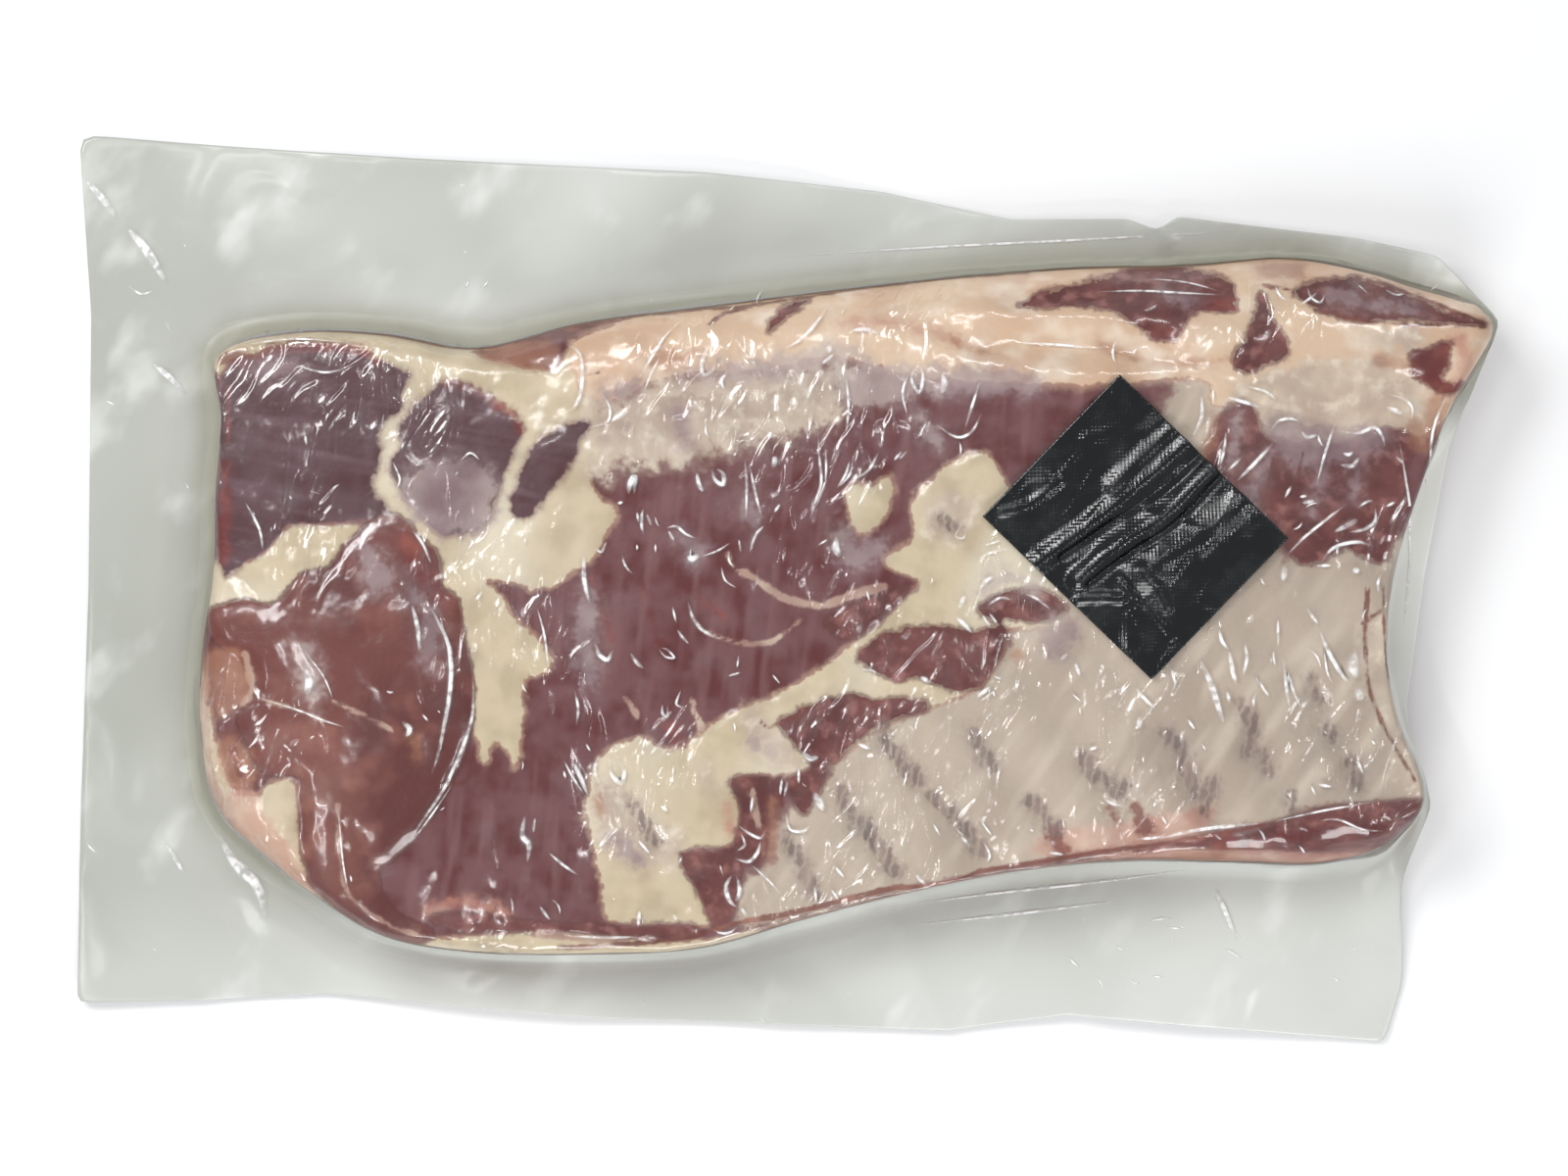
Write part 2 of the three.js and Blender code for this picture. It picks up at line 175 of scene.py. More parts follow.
CENTRE_FAT: Outline = (
    (441, 550), (469, 549), (497, 542), (523, 533), (540, 529), (556, 514), (576, 491),
    (593, 476), (603, 494), (612, 508), (628, 522), (618, 544), (607, 567), (579, 587),
    (548, 602), (528, 595), (497, 592), (509, 609), (525, 633), (548, 653), (562, 675),
    (551, 688), (534, 690), (534, 728), (530, 756), (525, 784), (518, 765), (503, 756),
    (495, 779), (489, 759), (482, 740), (482, 692), (475, 658), (469, 617), (450, 595),
)
LEFT_FAT: Outline = (
    (210, 575), (253, 573), (273, 561), (298, 536), (326, 535), (368, 536), (352, 556),
    (337, 578), (312, 583), (304, 587), (293, 603), (279, 616), (256, 615), (236, 617),
    (210, 632),
)
RIM_FAT: Outline = (
    (205, 362), (242, 330), (312, 325), (438, 330), (489, 362), (517, 370), (551, 377),
    (568, 376), (584, 351), (593, 350), (598, 376), (593, 401), (587, 420), (559, 424),
    (534, 427), (514, 410), (495, 400), (467, 392), (447, 387), (413, 376), (382, 361),
    (363, 354), (326, 349), (293, 350), (270, 356), (262, 363), (239, 362), (222, 380),
)
FAT_BETWEEN: Outline = (
    (380, 356), (420, 365), (520, 405), (600, 405), (612, 430), (604, 480), (560, 530),
    (500, 552), (430, 560), (400, 545), (380, 530), (375, 430),
)
FAR_SIDE_FAT: Outline = (
    (586, 350), (640, 325), (760, 285), (960, 265), (1100, 245), (1300, 225), (1420, 235),
    (1540, 290), (1540, 350), (1500, 405), (1450, 445), (1400, 440), (1330, 425), (1290, 414),
    (1240, 412),
    (1225, 385), (1100, 392), (960, 386), (900, 374), (850, 362), (770, 378),
    (728, 380), (672, 386), (630, 408), (596, 402),
)
POCKET: Outline = (
    (205, 668), (240, 662), (250, 680), (256, 702), (244, 722), (222, 730), (212, 712), (203, 690),
)
POCKET_BELOW: Outline = ((222, 755), (240, 752), (256, 776), (258, 800), (240, 806), (226, 790))
THIN_END_FAT: Outline = (
    (190, 690), (206, 690), (214, 735), (222, 775), (236, 808), (262, 812), (276, 800),
    (300, 800), (306, 860), (318, 897), (335, 922), (368, 944), (400, 962), (420, 972),
    (360, 980), (270, 930), (200, 860),
)
FOOT_FAT: Outline = (
    (420, 966), (551, 950), (600, 952), (690, 962), (760, 955), (900, 925), (1069, 890),
    (1200, 880), (1377, 893), (1440, 870), (1440, 940), (600, 1010), (400, 990),
)
GREY_BAND: Outline = (
    (594, 406), (630, 412), (672, 387), (728, 384), (770, 378), (813, 381), (841, 373),
    (869, 378), (857, 398), (857, 423), (829, 434), (793, 448), (751, 454), (712, 465),
    (672, 474), (633, 471), (619, 488), (596, 476),
)
RIB_END_FAT: Outline = (
    (1262, 396), (1310, 378), (1370, 368), (1426, 374), (1450, 400), (1450, 440), (1400, 458),
    (1340, 462), (1290, 446), (1264, 420),
)
PINK_NEAR_EDGE: Outline = (
    (1060, 872), (1069, 852), (1100, 845), (1161, 838), (1217, 826), (1240, 822), (1225, 850),
    (1161, 866),
)
RED_FOOT_PINK: Outline = ((250, 800), (290, 860), (330, 925), (300, 930), (250, 880), (225, 830))
THIN_MUSCLE_SIDE: Outline = (
    (225, 387), (262, 380), (276, 365), (312, 359), (368, 363), (402, 373), (415, 385),
    (410, 404), (408, 418), (391, 429), (385, 446), (388, 466), (380, 488), (380, 502),
    (396, 519), (380, 528), (329, 535), (298, 533), (284, 544), (270, 561), (253, 571),
    (222, 573),
)
THIN_MUSCLE_MIDDLE: Outline = (
    (441, 399), (453, 390), (481, 396), (509, 415), (531, 432), (528, 449), (520, 472),
    (511, 494), (506, 516), (497, 536), (469, 547), (447, 544), (430, 528), (413, 505),
    (401, 483), (401, 466), (410, 455), (408, 435), (422, 415),
)
THIN_MUSCLE_FAR: Outline = (
    (600, 432), (593, 446), (584, 469), (568, 494), (554, 511), (540, 528), (523, 525),
    (523, 505), (534, 477), (548, 452), (568, 438),
)
RIB_END_MUSCLE: Outline = (
    (1232, 462), (1242, 440), (1246, 424), (1262, 412), (1280, 416), (1286, 440), (1300, 450),
    (1330, 454), (1367, 452), (1392, 446), (1412, 438), (1444, 446), (1438, 480), (1430, 510),
    (1424, 540), (1414, 572), (1396, 568), (1372, 560), (1346, 572), (1328, 574), (1314, 560),
    (1308, 540), (1260, 500), (1230, 478),
)
RED_LOBE: Outline = (
    (205, 630), (234, 616), (253, 612), (273, 618), (287, 611), (301, 594), (312, 584),
    (337, 578), (352, 558), (371, 539), (396, 525), (410, 530), (433, 550), (450, 573),
    (450, 598), (467, 611), (471, 641), (481, 681), (482, 717), (478, 754), (458, 804),
    (408, 871), (385, 888), (400, 930), (440, 950), (420, 966), (368, 948), (335, 922),
    (318, 897), (309, 869), (307, 827), (304, 793), (284, 790), (265, 784), (250, 754),
    (242, 731), (262, 704), (250, 672), (225, 660),
)
ISLAND_UPPER: Outline = (
    (876, 669), (889, 656), (912, 643), (951, 638), (982, 642), (1001, 645), (1024, 636),
    (1025, 662), (1013, 681), (998, 701), (973, 705), (956, 698), (940, 690), (914, 694),
    (895, 687), (881, 676),
)
ISLAND_LOWER: Outline = (
    (795, 737), (811, 726), (839, 715), (872, 708), (895, 715), (917, 712), (942, 714),
    (948, 721), (934, 729), (912, 733), (895, 740), (872, 757), (855, 774), (841, 782),
    (840, 799), (822, 830), (811, 819), (805, 796), (828, 783), (808, 754),
)
ISLAND_TOP: Outline = (
    (998, 622), (1007, 611), (1035, 601), (1063, 603), (1091, 620), (1077, 631), (1057, 634),
    (1027, 631), (1021, 639),
)
MUSCLE_WEDGE: Outline = (
    (841, 634), (883, 614), (919, 600), (936, 594), (919, 614), (891, 640), (866, 652),
)
DARK_BY_RIBS: Outline = (
    (745, 796), (783, 795), (788, 817), (783, 847), (774, 882), (753, 860), (758, 828),
)
DARK_AT_FOOT: Outline = (
    (694, 871), (737, 867), (753, 882), (753, 903), (750, 930), (732, 946), (724, 935),
    (710, 906),
)
FOOT_RED: Outline = (
    (440, 938), (470, 932), (551, 942), (640, 944), (705, 944), (699, 956), (630, 956),
    (551, 950), (470, 950),
)
NEAR_SIDE_RED: Outline = (
    (1200, 860), (1256, 852), (1290, 844), (1350, 827), (1400, 820), (1447, 817), (1440, 835),
    (1412, 862), (1390, 868), (1340, 869), (1290, 865), (1240, 867),
)
NEAR_SIDE_PINK: Outline = (
    (1125, 876), (1200, 867), (1240, 869), (1290, 867), (1340, 871), (1397, 868), (1375, 882),
    (1340, 890), (1290, 886), (1220, 882),
)
FAR_STRIP_RED: Outline = (
    (1040, 312), (1060, 300), (1100, 290), (1150, 275), (1170, 264), (1215, 275), (1250, 285),
    (1258, 290), (1258, 315), (1230, 315), (1215, 320), (1205, 335), (1200, 345), (1180, 345),
    (1165, 335), (1150, 325), (1135, 315), (1110, 312),
)
FAR_WEDGE_RED: Outline = (
    (1287, 300), (1300, 330), (1315, 355), (1310, 365), (1290, 373), (1275, 380), (1262, 375),
    (1258, 362), (1270, 350), (1278, 330),
)
TIP_MUSCLE: Outline = (
    (1325, 303), (1320, 297), (1335, 288), (1360, 285), (1385, 283), (1420, 294), (1450, 305),
    (1480, 320), (1517, 331), (1480, 329), (1450, 325), (1400, 327), (1370, 325), (1345, 315),
)
TIP_RED: Outline = (
    (1440, 362), (1455, 358), (1475, 350), (1480, 355), (1478, 370), (1470, 385), (1480, 395),
    (1492, 392), (1485, 400), (1468, 402), (1455, 390), (1442, 380),
)
RIM_RED: Outline = (
    (490, 360), (510, 346), (560, 350), (570, 370), (540, 377), (500, 367),
)
FAR_CUT: Outline = ((783, 338), (798, 314), (825, 303), (813, 314), (796, 327))
# Painted shade: a dark brown hollow in a fold of the far-side fat, over a groove that the relief
# sinks.
FAR_FOLD_SHADE: Outline = (
    (662, 372), (672, 360), (685, 355), (695, 362), (715, 357), (692, 370), (680, 375),
)
LOBE_LIGHT: Outline = (
    (270, 745), (300, 738), (340, 748), (362, 790), (372, 830), (368, 880), (366, 925),
    (335, 905), (312, 870), (309, 827), (305, 790), (276, 780),
)
FLAP_MEMBRANE: Outline = ((368, 556), (390, 568), (402, 588), (396, 602), (372, 596))
BAND_HAZE: Outline = (
    (690, 386), (712, 372), (760, 372), (800, 362), (836, 356), (872, 350), (876, 360),
    (836, 378), (779, 386), (728, 388),
)
BAND_HAZE_LEFT: Outline = ((615, 398), (653, 385), (650, 402), (622, 408))
MUSCLE_HAZE: Outline = (
    (856, 376), (930, 374), (1010, 376), (1056, 384), (1060, 400), (1010, 402), (940, 400),
    (900, 412), (862, 408),
)
MUSCLE_FADE: Outline = (
    (412, 490), (438, 474), (484, 472), (504, 492), (504, 510), (498, 536), (460, 546),
    (425, 530),
)
RIB_END_HAZE: Outline = (
    (1296, 434), (1330, 428), (1370, 440), (1404, 436), (1420, 448), (1396, 462), (1370, 470),
    (1340, 478), (1308, 468),
)
GREY_SPOTS: Outline = (
    (950, 512), (975, 500), (996, 512), (990, 540), (966, 552), (946, 536),
)
GREY_LOW: Outline = (
    (606, 806), (634, 800), (664, 826), (700, 866), (690, 884), (652, 880), (616, 860),
)
SKIN_PURPLE: Outline = (
    (1062, 650), (1070, 632), (1090, 622), (1098, 636), (1096, 652), (1084, 668), (1068, 664),
)

FLESH: dict[Tissue, Patchwork] = {
    Tissue.SKIN: Patchwork(areas=(SKIN_OVER_RIBS, SKIN_BY_PATCH)),
    Tissue.FAT: Patchwork(
        areas=(
            FAT_ACROSS, FAT_FLECK, CENTRE_FAT, LEFT_FAT, RIM_FAT, FAT_BETWEEN, THIN_END_FAT,
            FOOT_FAT,
        ),
    ),
    Tissue.PEACH_FAT: Patchwork(areas=(FAR_SIDE_FAT,)),
    Tissue.GREY_FAT: Patchwork(
        areas=(GREY_BAND, GREY_SPOTS, GREY_LOW, RIB_END_FAT),
        streaks=(
            (26, ((1412, 640), (1414, 700), (1432, 760), (1452, 800))),
            (22, ((1408, 346), (1440, 348))),
            (20, ((770, 735), (790, 762), (812, 780))),
            (14, ((716, 786), (724, 800))),
        ),
    ),
    Tissue.PINK_FAT: Patchwork(
        areas=(PINK_NEAR_EDGE, RED_FOOT_PINK, NEAR_SIDE_PINK),
        streaks=(
            (8, ((860, 331), (900, 328), (940, 335), (975, 345))),
            (14, ((1490, 350), (1497, 380), (1480, 400))),
            (6, ((746, 820), (744, 846))),
            (8, ((434, 930), (480, 921), (514, 932))),
        ),
    ),
    Tissue.BLUISH: Patchwork(
        areas=(THIN_MUSCLE_SIDE, THIN_MUSCLE_MIDDLE, THIN_MUSCLE_FAR),
    ),
    Tissue.LOBE: Patchwork(areas=(RED_LOBE,)),
    Tissue.LOBE_PALE: Patchwork(areas=(LOBE_LIGHT,)),
    Tissue.DARK: Patchwork(
        areas=(
            ISLAND_UPPER, ISLAND_LOWER, ISLAND_TOP, MUSCLE_WEDGE, DARK_BY_RIBS, DARK_AT_FOOT,
            FOOT_RED, NEAR_SIDE_RED, FAR_STRIP_RED, FAR_WEDGE_RED, TIP_MUSCLE, FAR_CUT,
            RIB_END_MUSCLE, TIP_RED,
        ),
    ),
    Tissue.BLOOD: Patchwork(
        areas=(TIP_RED,),
        streaks=(
            (8, ((228, 366), (262, 362), (280, 354), (350, 352), (386, 366))),
            (8, ((455, 391), (480, 396), (508, 412), (532, 435))),
            (11, ((229, 475), (230, 520), (227, 570))),
            (16, ((350, 574), (380, 548))),
            (16, ((414, 552), (432, 588), (444, 612))),
            (10, ((1172, 334), (1186, 340), (1198, 337))),
            (9, ((1228, 309), (1254, 308))),
            (8, ((1133, 824), (1141, 838))),
            (12, ((1158, 822), (1168, 848))),
            (14, ((1076, 850), (1084, 868))),
            (4, ((604, 590), (612, 620), (624, 650))),
            (5, ((656, 598), (664, 632), (672, 660))),
            (5, ((700, 596), (716, 612), (738, 628))),
            (14, ((684, 742), (696, 756))),
            (12, ((1240, 872), (1256, 856))),
            (11, ((1300, 858), (1350, 852), (1410, 848))),
        ),
    ),
    Tissue.GAP: Patchwork(
        streaks=(
            (12, ((803, 853), (814, 874), (824, 894), (832, 914))),
            (10, ((858, 805), (866, 824), (872, 840))),
            (13, ((878, 838), (894, 856), (902, 874), (914, 890))),
            (13, ((901, 744), (911, 765), (926, 782), (940, 798))),
            (11, ((949, 810), (966, 826), (986, 846), (1004, 870))),
            (10, ((994, 744), (1004, 765), (1014, 780))),
            (11, ((1052, 816), (1066, 834), (1080, 850))),
            (15, ((1108, 774), (1120, 790), (1144, 808))),
            (13, ((1190, 747), (1205, 766), (1212, 790), (1221, 812))),
            (11, ((1236, 800), (1232, 826))),
            (13, ((1264, 718), (1280, 744), (1276, 764))),
            (10, ((1286, 766), (1297, 784))),
            (8, ((1354, 744), (1362, 752))),
            (9, ((1379, 776), (1390, 800))),
            (9, ((1318, 812), (1322, 826))),
            (10, ((646, 822), (656, 838), (668, 858))),
            (8, ((960, 530), (976, 540))),
            (7, ((1338, 690), (1348, 716))),
        ),
    ),
    Tissue.MEMBRANE: Patchwork(
        areas=(
            FLAP_MEMBRANE, BAND_HAZE, BAND_HAZE_LEFT, MUSCLE_HAZE, SKIN_PURPLE, MUSCLE_FADE,
            RIB_END_HAZE,
        ),
        streaks=(
            (14, ((262, 380), (298, 374))),
            (12, ((1003, 606), (1014, 594), (1036, 590), (1052, 598))),
            (16, ((312, 664), (316, 690), (318, 712))),
            (14, ((430, 612), (440, 640), (436, 676))),
            # Painted sheen: a broad light strip standing in for glints on the muscle.
            (18, ((602, 610), (596, 650), (600, 690))),
            (12, ((696, 548), (712, 560), (704, 572))),
            (12, ((762, 506), (768, 530))),
            (20, ((860, 552), (868, 572), (892, 560))),
            (12, ((692, 420), (700, 450))),
            # Painted sheen with film haze over the tip muscle, standing in for its glossy
            # highlights.
            (10, ((1360, 300), (1408, 309), (1440, 313))),
            (16, ((628, 858), (650, 876))),
            (12, ((772, 760), (790, 770))),
            (12, ((1190, 298), (1215, 304))),
            (9, ((1264, 424), (1256, 470))),
            (7, ((1296, 458), (1278, 508))),
            (6, ((1352, 474), (1338, 526))),
            (6, ((1388, 470), (1380, 510))),
            (12, ((940, 428), (958, 452))),
        ),
    ),
    Tissue.VEIN: Patchwork(
        streaks=(
            (4, ((743, 566), (748, 578), (757, 584))),
            (7, ((757, 584), (770, 590), (786, 602), (802, 611), (838, 619))),
            (8, ((844, 617), (872, 606), (902, 598))),
            (4, ((722, 646), (748, 655), (783, 656), (800, 646), (816, 634))),
            (6, ((706, 716), (710, 730), (717, 744))),
            (4, ((638, 712), (646, 722), (650, 732))),
            (3, ((262, 711), (305, 725), (330, 735))),
            (7, ((249, 668), (257, 704), (246, 719))),
            (3, ((340, 715), (372, 730), (400, 745))),
            (3, ((345, 822), (350, 897), (366, 922), (400, 945), (430, 955))),
            (12, ((205, 702), (208, 760), (216, 800), (236, 836))),
            (7, ((551, 953), (600, 958), (638, 960))),
            (6, ((768, 808), (774, 842))),
        ),
    ),
    Tissue.AMBER: Patchwork(
        areas=(FAR_FOLD_SHADE, RIM_RED, POCKET, POCKET_BELOW),
        streaks=(
            (12, ((1036, 668), (1041, 670))),
            (5, ((788, 820), (789, 845), (788, 880))),
            (8, ((611, 812), (613, 826))),
            (10, ((424, 754), (427, 770))),
            (16, ((1292, 276), (1326, 276))),
            (8, ((1388, 267), (1414, 274))),
            # Painted shade along a fold of the far-side fat.
            (5, ((1120, 350), (1150, 362), (1190, 370), (1230, 370), (1255, 365))),
            (5, ((975, 346), (992, 356), (1006, 358))),
            (12, ((1408, 368), (1436, 374))),
            (20, ((1466, 410), (1464, 436))),
            (18, ((1444, 436), (1452, 454))),
            (9, ((1240, 426), (1236, 450), (1226, 466))),
            (8, ((1204, 876), (1260, 876))),
        ),
    ),
    # Thin dark lines: mostly painted shade in the folds of the fat and along the meat's edges, and
    # a few brown lines of the tissue itself.
    Tissue.THREAD: Patchwork(
        streaks=(
            (3.6, ((1396, 600), (1393, 650), (1396, 690), (1403, 718), (1418, 752), (1444, 796))),
            (3, ((1391, 636), (1400, 630), (1412, 621))),
            (2.2, ((1412, 600), (1413, 650), (1419, 692))),
            (3, ((580, 335), (650, 322), (745, 313), (850, 298), (960, 283), (1050, 278))),
            (3, ((723, 331), (740, 320), (765, 312))),
            (2.4, ((596, 383), (612, 380))),
            (3.5, ((1290, 291), (1308, 294), (1322, 299))),
            (3, ((1385, 282), (1450, 303), (1515, 330))),
            (3, ((1340, 315), (1400, 329), (1515, 333))),
            (3.6, ((233, 395), (233, 450))),
            (4, ((1130, 868), (1192, 860), (1252, 850), (1290, 842))),
            (5, ((1000, 889), (1040, 883), (1100, 873), (1130, 868))),
            (5, ((916, 905), (950, 904), (985, 896), (1000, 889))),
            (6, ((760, 940), (800, 934), (840, 924), (872, 916), (916, 905))),
            (4, ((570, 966), (620, 965), (700, 957), (732, 948), (760, 940))),
            (3, ((794, 738), (784, 742), (776, 736))),
            (4, ((444, 796), (470, 800), (480, 790))),
            (2.4, ((1330, 462), (1322, 500))),
            (2.4, ((1300, 470), (1290, 512))),
            (7, ((236, 764), (244, 790))),
        ),
    ),
}


def rounded(points: Outline, closed: bool, steps: int = 3) -> np.ndarray:
    """A smooth line through traced points.

    Args:
        points: The traced points, in photo pixels.
        closed: Whether the last point joins the first.
        steps: How many short pieces each stretch is made of.

    Returns:
        Rows of points along the line.
    """
    traced = np.array(points, float)
    if closed:
        before, after = np.roll(traced, 1, 0), np.roll(traced, -1, 0)
        beyond = np.roll(traced, -2, 0)
        start = traced
    else:
        padded = np.vstack([traced[:1], traced, traced[-1:]])
        before, start, after, beyond = padded[:-3], padded[1:-2], padded[2:-1], padded[3:]
    line = []
    for part in np.arange(steps) / steps:
        slope = (after - before) + (2 * before - 5 * start + 4 * after - beyond) * part
        curve = (3 * start - before - 3 * after + beyond) * part * part
        line.append(start + 0.5 * part * (slope + curve))
    smooth = np.stack(line, 1).reshape(-1, 2)
    return smooth if closed else np.vstack([smooth, traced[-1:]])


def distance_to_line(pixels: np.ndarray, line: np.ndarray) -> np.ndarray:
    """How far each pixel lies from a line of straight pieces."""
    nearest = np.full(len(pixels), np.inf)
    for start, end in zip(line[:-1], line[1:]):
        run = end - start
        length = max(float(run @ run), 1e-9)
        away = pixels - start
        part = np.clip(away @ run / length, 0, 1)
        gap = away - part[:, None] * run
        nearest = np.minimum(nearest, np.einsum("ij,ij->i", gap, gap))
    return np.sqrt(nearest)


def inside(pixels: np.ndarray, outline: np.ndarray) -> np.ndarray:
    """Whether each pixel lies inside a closed outline."""
    within = np.zeros(len(pixels), bool)
    x, y = pixels.T
    for (x0, y0), (x1, y1) in zip(outline, np.roll(outline, -1, 0)):
        crosses = (y0 > y) != (y1 > y)
        reach = x0 + (y - y0) * (x1 - x0) / (y1 - y0 if y1 != y0 else 1e-9)
        within ^= crosses & (x < reach)
    return within


def depth_in(tissue: Tissue, pixels: np.ndarray) -> np.ndarray:
    """How deep places lie in a tissue.

    Args:
        tissue: The kind of flesh or fat.
        pixels: Where the places show in the photo.

    Returns:
        Depth in millimetres: positive inside, and negative outside.
    """
    deepest = np.full(len(pixels), -FAR_PIXELS)
    shapes = [(None, traced) for traced in FLESH[tissue].areas] + list(FLESH[tissue].streaks)
    for width, traced in shapes:
        line = rounded(traced, closed=width is None)
        low, high = line.min(0) - FAR_PIXELS, line.max(0) + FAR_PIXELS
        near = np.flatnonzero(((pixels > low) & (pixels < high)).all(1))
        close = pixels[near]
        if width is None:
            away = distance_to_line(close, np.vstack([line, line[:1]]))
            depth = np.where(inside(close, line), away, -away)
        else:
            depth = width / 2 - distance_to_line(close, line)
        deepest[near] = np.maximum(deepest[near], depth)
    return deepest * VIEW.metres_a_pixel / MM


# ---- shader wiring ------------------------------------------------------------------------------

# A tissue's edge: how much its fringe covers, how far the fine noise shifts the edge beside the
# coarse one, and how wide the rim is, in millimetres.
FRINGE_SHARE = 0.42
FINE_SHARE = 0.45
RIM_WIDTH = 1.3
# The flesh's grain: between which values of each noise one colour gives way to the next.
BROAD_CHANGE = (0.34, 0.62)
FINE_CHANGE = (0.46, 0.78)
# Film wrinkles: how far the second set leans from the first, how far a crease reaches in its
# noise, the clouds in a metre that share out the two sets and the patches, and the ripple's.
CREASE_LEAN = math.radians(28)
CREASE_REACH = 0.11
SET_CLOUDS, SET_CHANGE = 30, (0.46, 0.6)
PATCH_CLOUDS, PATCH_CHANGE = 19, (0.48, 0.66)
RIPPLE_CLOUDS = 150

Socket = bpy.types.NodeSocket
Value = Socket | float | Sequence[float]


@dataclass
class Wiring:
    """Adds nodes to one tree and joins them."""

    tree: bpy.types.NodeTree

    def node(self, kind: str, **settings: object) -> bpy.types.Node:
        """A new node of a kind, with its settings."""
        made = self.tree.nodes.new(kind)
        for name, value in settings.items():
            setattr(made, name, value)
        return made

    def feed(self, socket: Socket, value: Value) -> None:
        """Joins an input to an output, or gives it a fixed value."""
        if isinstance(value, bpy.types.NodeSocket):
            self.tree.links.new(value, socket)
        else:
            socket.default_value = value

    def math(self, operation: str, *values: Value) -> Socket:
        """The result of a sum on numbers."""
        made = self.node("ShaderNodeMath", operation=operation)
        for socket, value in zip(made.inputs, values):
            self.feed(socket, value)
        return made.outputs[0]

    def step(self, value: Value, low: Value, high: Value) -> Socket:
        """A soft step: 0 at `low`, 1 at `high`, and the other way round if `high` is less."""
        made = self.node("ShaderNodeMapRange", interpolation_type="SMOOTHSTEP")
        for name, item in (("Value", value), ("From Min", low), ("From Max", high)):
            self.feed(made.inputs[name], item)
        return made.outputs["Result"]

    def blend(self, factor: Value, start: Value, end: Value) -> Socket:
        """A colour between two others."""
        made = self.node("ShaderNodeMix", data_type="RGBA")
        self.feed(made.inputs[0], factor)
        self.feed(made.inputs[6], start)
        self.feed(made.inputs[7], end)
        return made.outputs[2]

    def between(self, factor: Value, start: Value, end: Value) -> Socket:
        """A number between two others."""
        made = self.node("ShaderNodeMix", data_type="FLOAT")
        self.feed(made.inputs[0], factor)
        self.feed(made.inputs[2], start)
        self.feed(made.inputs[3], end)
        return made.outputs[0]

    def placed(self, grain: Value = (1, 1, 1), turn: Value = (0, 0, 0)) -> Socket:
        """The object's own coordinates, turned and then stretched.

        Args:
            grain: How many times a pattern repeats in a metre along each axis.
            turn: The pattern's turn about each axis, in radians.

        Returns:
            The coordinates to give to a pattern.
        """
        where = self.node("ShaderNodeTexCoord")
        turned = self.node("ShaderNodeMapping")
        self.feed(turned.inputs["Vector"], where.outputs["Object"])
        self.feed(turned.inputs["Rotation"], turn)
        stretched = self.node("ShaderNodeVectorMath", operation="MULTIPLY")
        self.feed(stretched.inputs[0], turned.outputs["Vector"])
        self.feed(stretched.inputs[1], grain)
        return stretched.outputs["Vector"]

    def noise(self, where: Socket, scale: Value = 1.0, detail: float = 2.0) -> Socket:
        """Cloudy noise from 0 to 1, about 0.5 on average."""
        made = self.node("ShaderNodeTexNoise")
        self.feed(made.inputs["Vector"], where)
        self.feed(made.inputs["Scale"], scale)
        self.feed(made.inputs["Detail"], detail)
        return made.outputs["Fac"]

    def attribute(self, name: str) -> Socket:
        """A number that each point of the mesh carries."""
        return self.node("ShaderNodeAttribute", attribute_name=name).outputs["Fac"]

    def group(self, tree: bpy.types.NodeTree, **values: Value) -> bpy.types.Node:
        """A shared effect placed here, with its inputs by name, words joined by underscores."""
        made = self.node("ShaderNodeGroup")
        made.node_tree = tree
        for name, value in values.items():
            self.feed(made.inputs[name.replace("_", " ")], value)
        return made

    def bump(self, height: Socket, distance: float, strength: float = 1.0) -> Socket:
        """A normal that follows a height, which counts in steps of `distance`."""
        made = self.node("ShaderNodeBump")
        made.inputs["Strength"].default_value = strength
        made.inputs["Distance"].default_value = distance
        self.feed(made.inputs["Height"], height)
        return made.outputs["Normal"]


def new_group(name: str, inputs: dict[str, str], outputs: dict[str, str]) -> tuple[Wiring, ...]:
    """An empty shader node group.

    Args:
        name: The group's name.
        inputs: Each input's name and kind: Float, Vector or Color.
        outputs: Each output's name and kind.

    Returns:
        The group's wiring, its input node and its output node.
    """
    tree = bpy.data.node_groups.new(name, "ShaderNodeTree")
    for direction, sockets in (("INPUT", inputs), ("OUTPUT", outputs)):
        for label, kind in sockets.items():
            tree.interface.new_socket(label, in_out=direction, socket_type=f"NodeSocket{kind}")
    wiring = Wiring(tree)
    return wiring, wiring.node("NodeGroupInput"), wiring.node("NodeGroupOutput")


def ragged_edge_group() -> bpy.types.NodeTree:
    """A tissue's uneven edge, from the depth in it, in millimetres, and two noises.

    The mask is sharp within `Soft` and goes on thinly as far as `Fringe`. The rim is a narrow
    line along the edge.
    """
    names = ("Depth", "Coarse", "Fine", "Ragged", "Soft", "Fringe", "Cover")
    outputs = {"Mask": "Float", "Rim": "Float"}
    wiring, given, result = new_group("Ragged edge", dict.fromkeys(names, "Float"), outputs)
    coarse = wiring.math("SUBTRACT", given.outputs["Coarse"], 0.5)
    fine = wiring.math("SUBTRACT", given.outputs["Fine"], 0.5)
    uneven = wiring.math("ADD", coarse, wiring.math("MULTIPLY", fine, FINE_SHARE))
    shift = wiring.math("MULTIPLY", uneven, given.outputs["Ragged"])
    depth = wiring.math("ADD", given.outputs["Depth"], shift)
    below = wiring.math("MULTIPLY", given.outputs["Soft"], -1)
    core = wiring.step(depth, below, given.outputs["Soft"])
    outside = wiring.math("MULTIPLY", given.outputs["Fringe"], -1)
    halo = wiring.step(depth, outside, given.outputs["Soft"])
    both = wiring.between(FRINGE_SHARE, core, halo)
    wiring.feed(result.inputs["Mask"], wiring.math("MULTIPLY", both, given.outputs["Cover"]))
    off_edge = wiring.math("ABSOLUTE", wiring.math("ADD", depth, RIM_WIDTH / 2))
    rim = wiring.step(off_edge, RIM_WIDTH, 0)
    wiring.feed(result.inputs["Rim"], wiring.math("MULTIPLY", rim, given.outputs["Cover"]))
    return wiring.tree


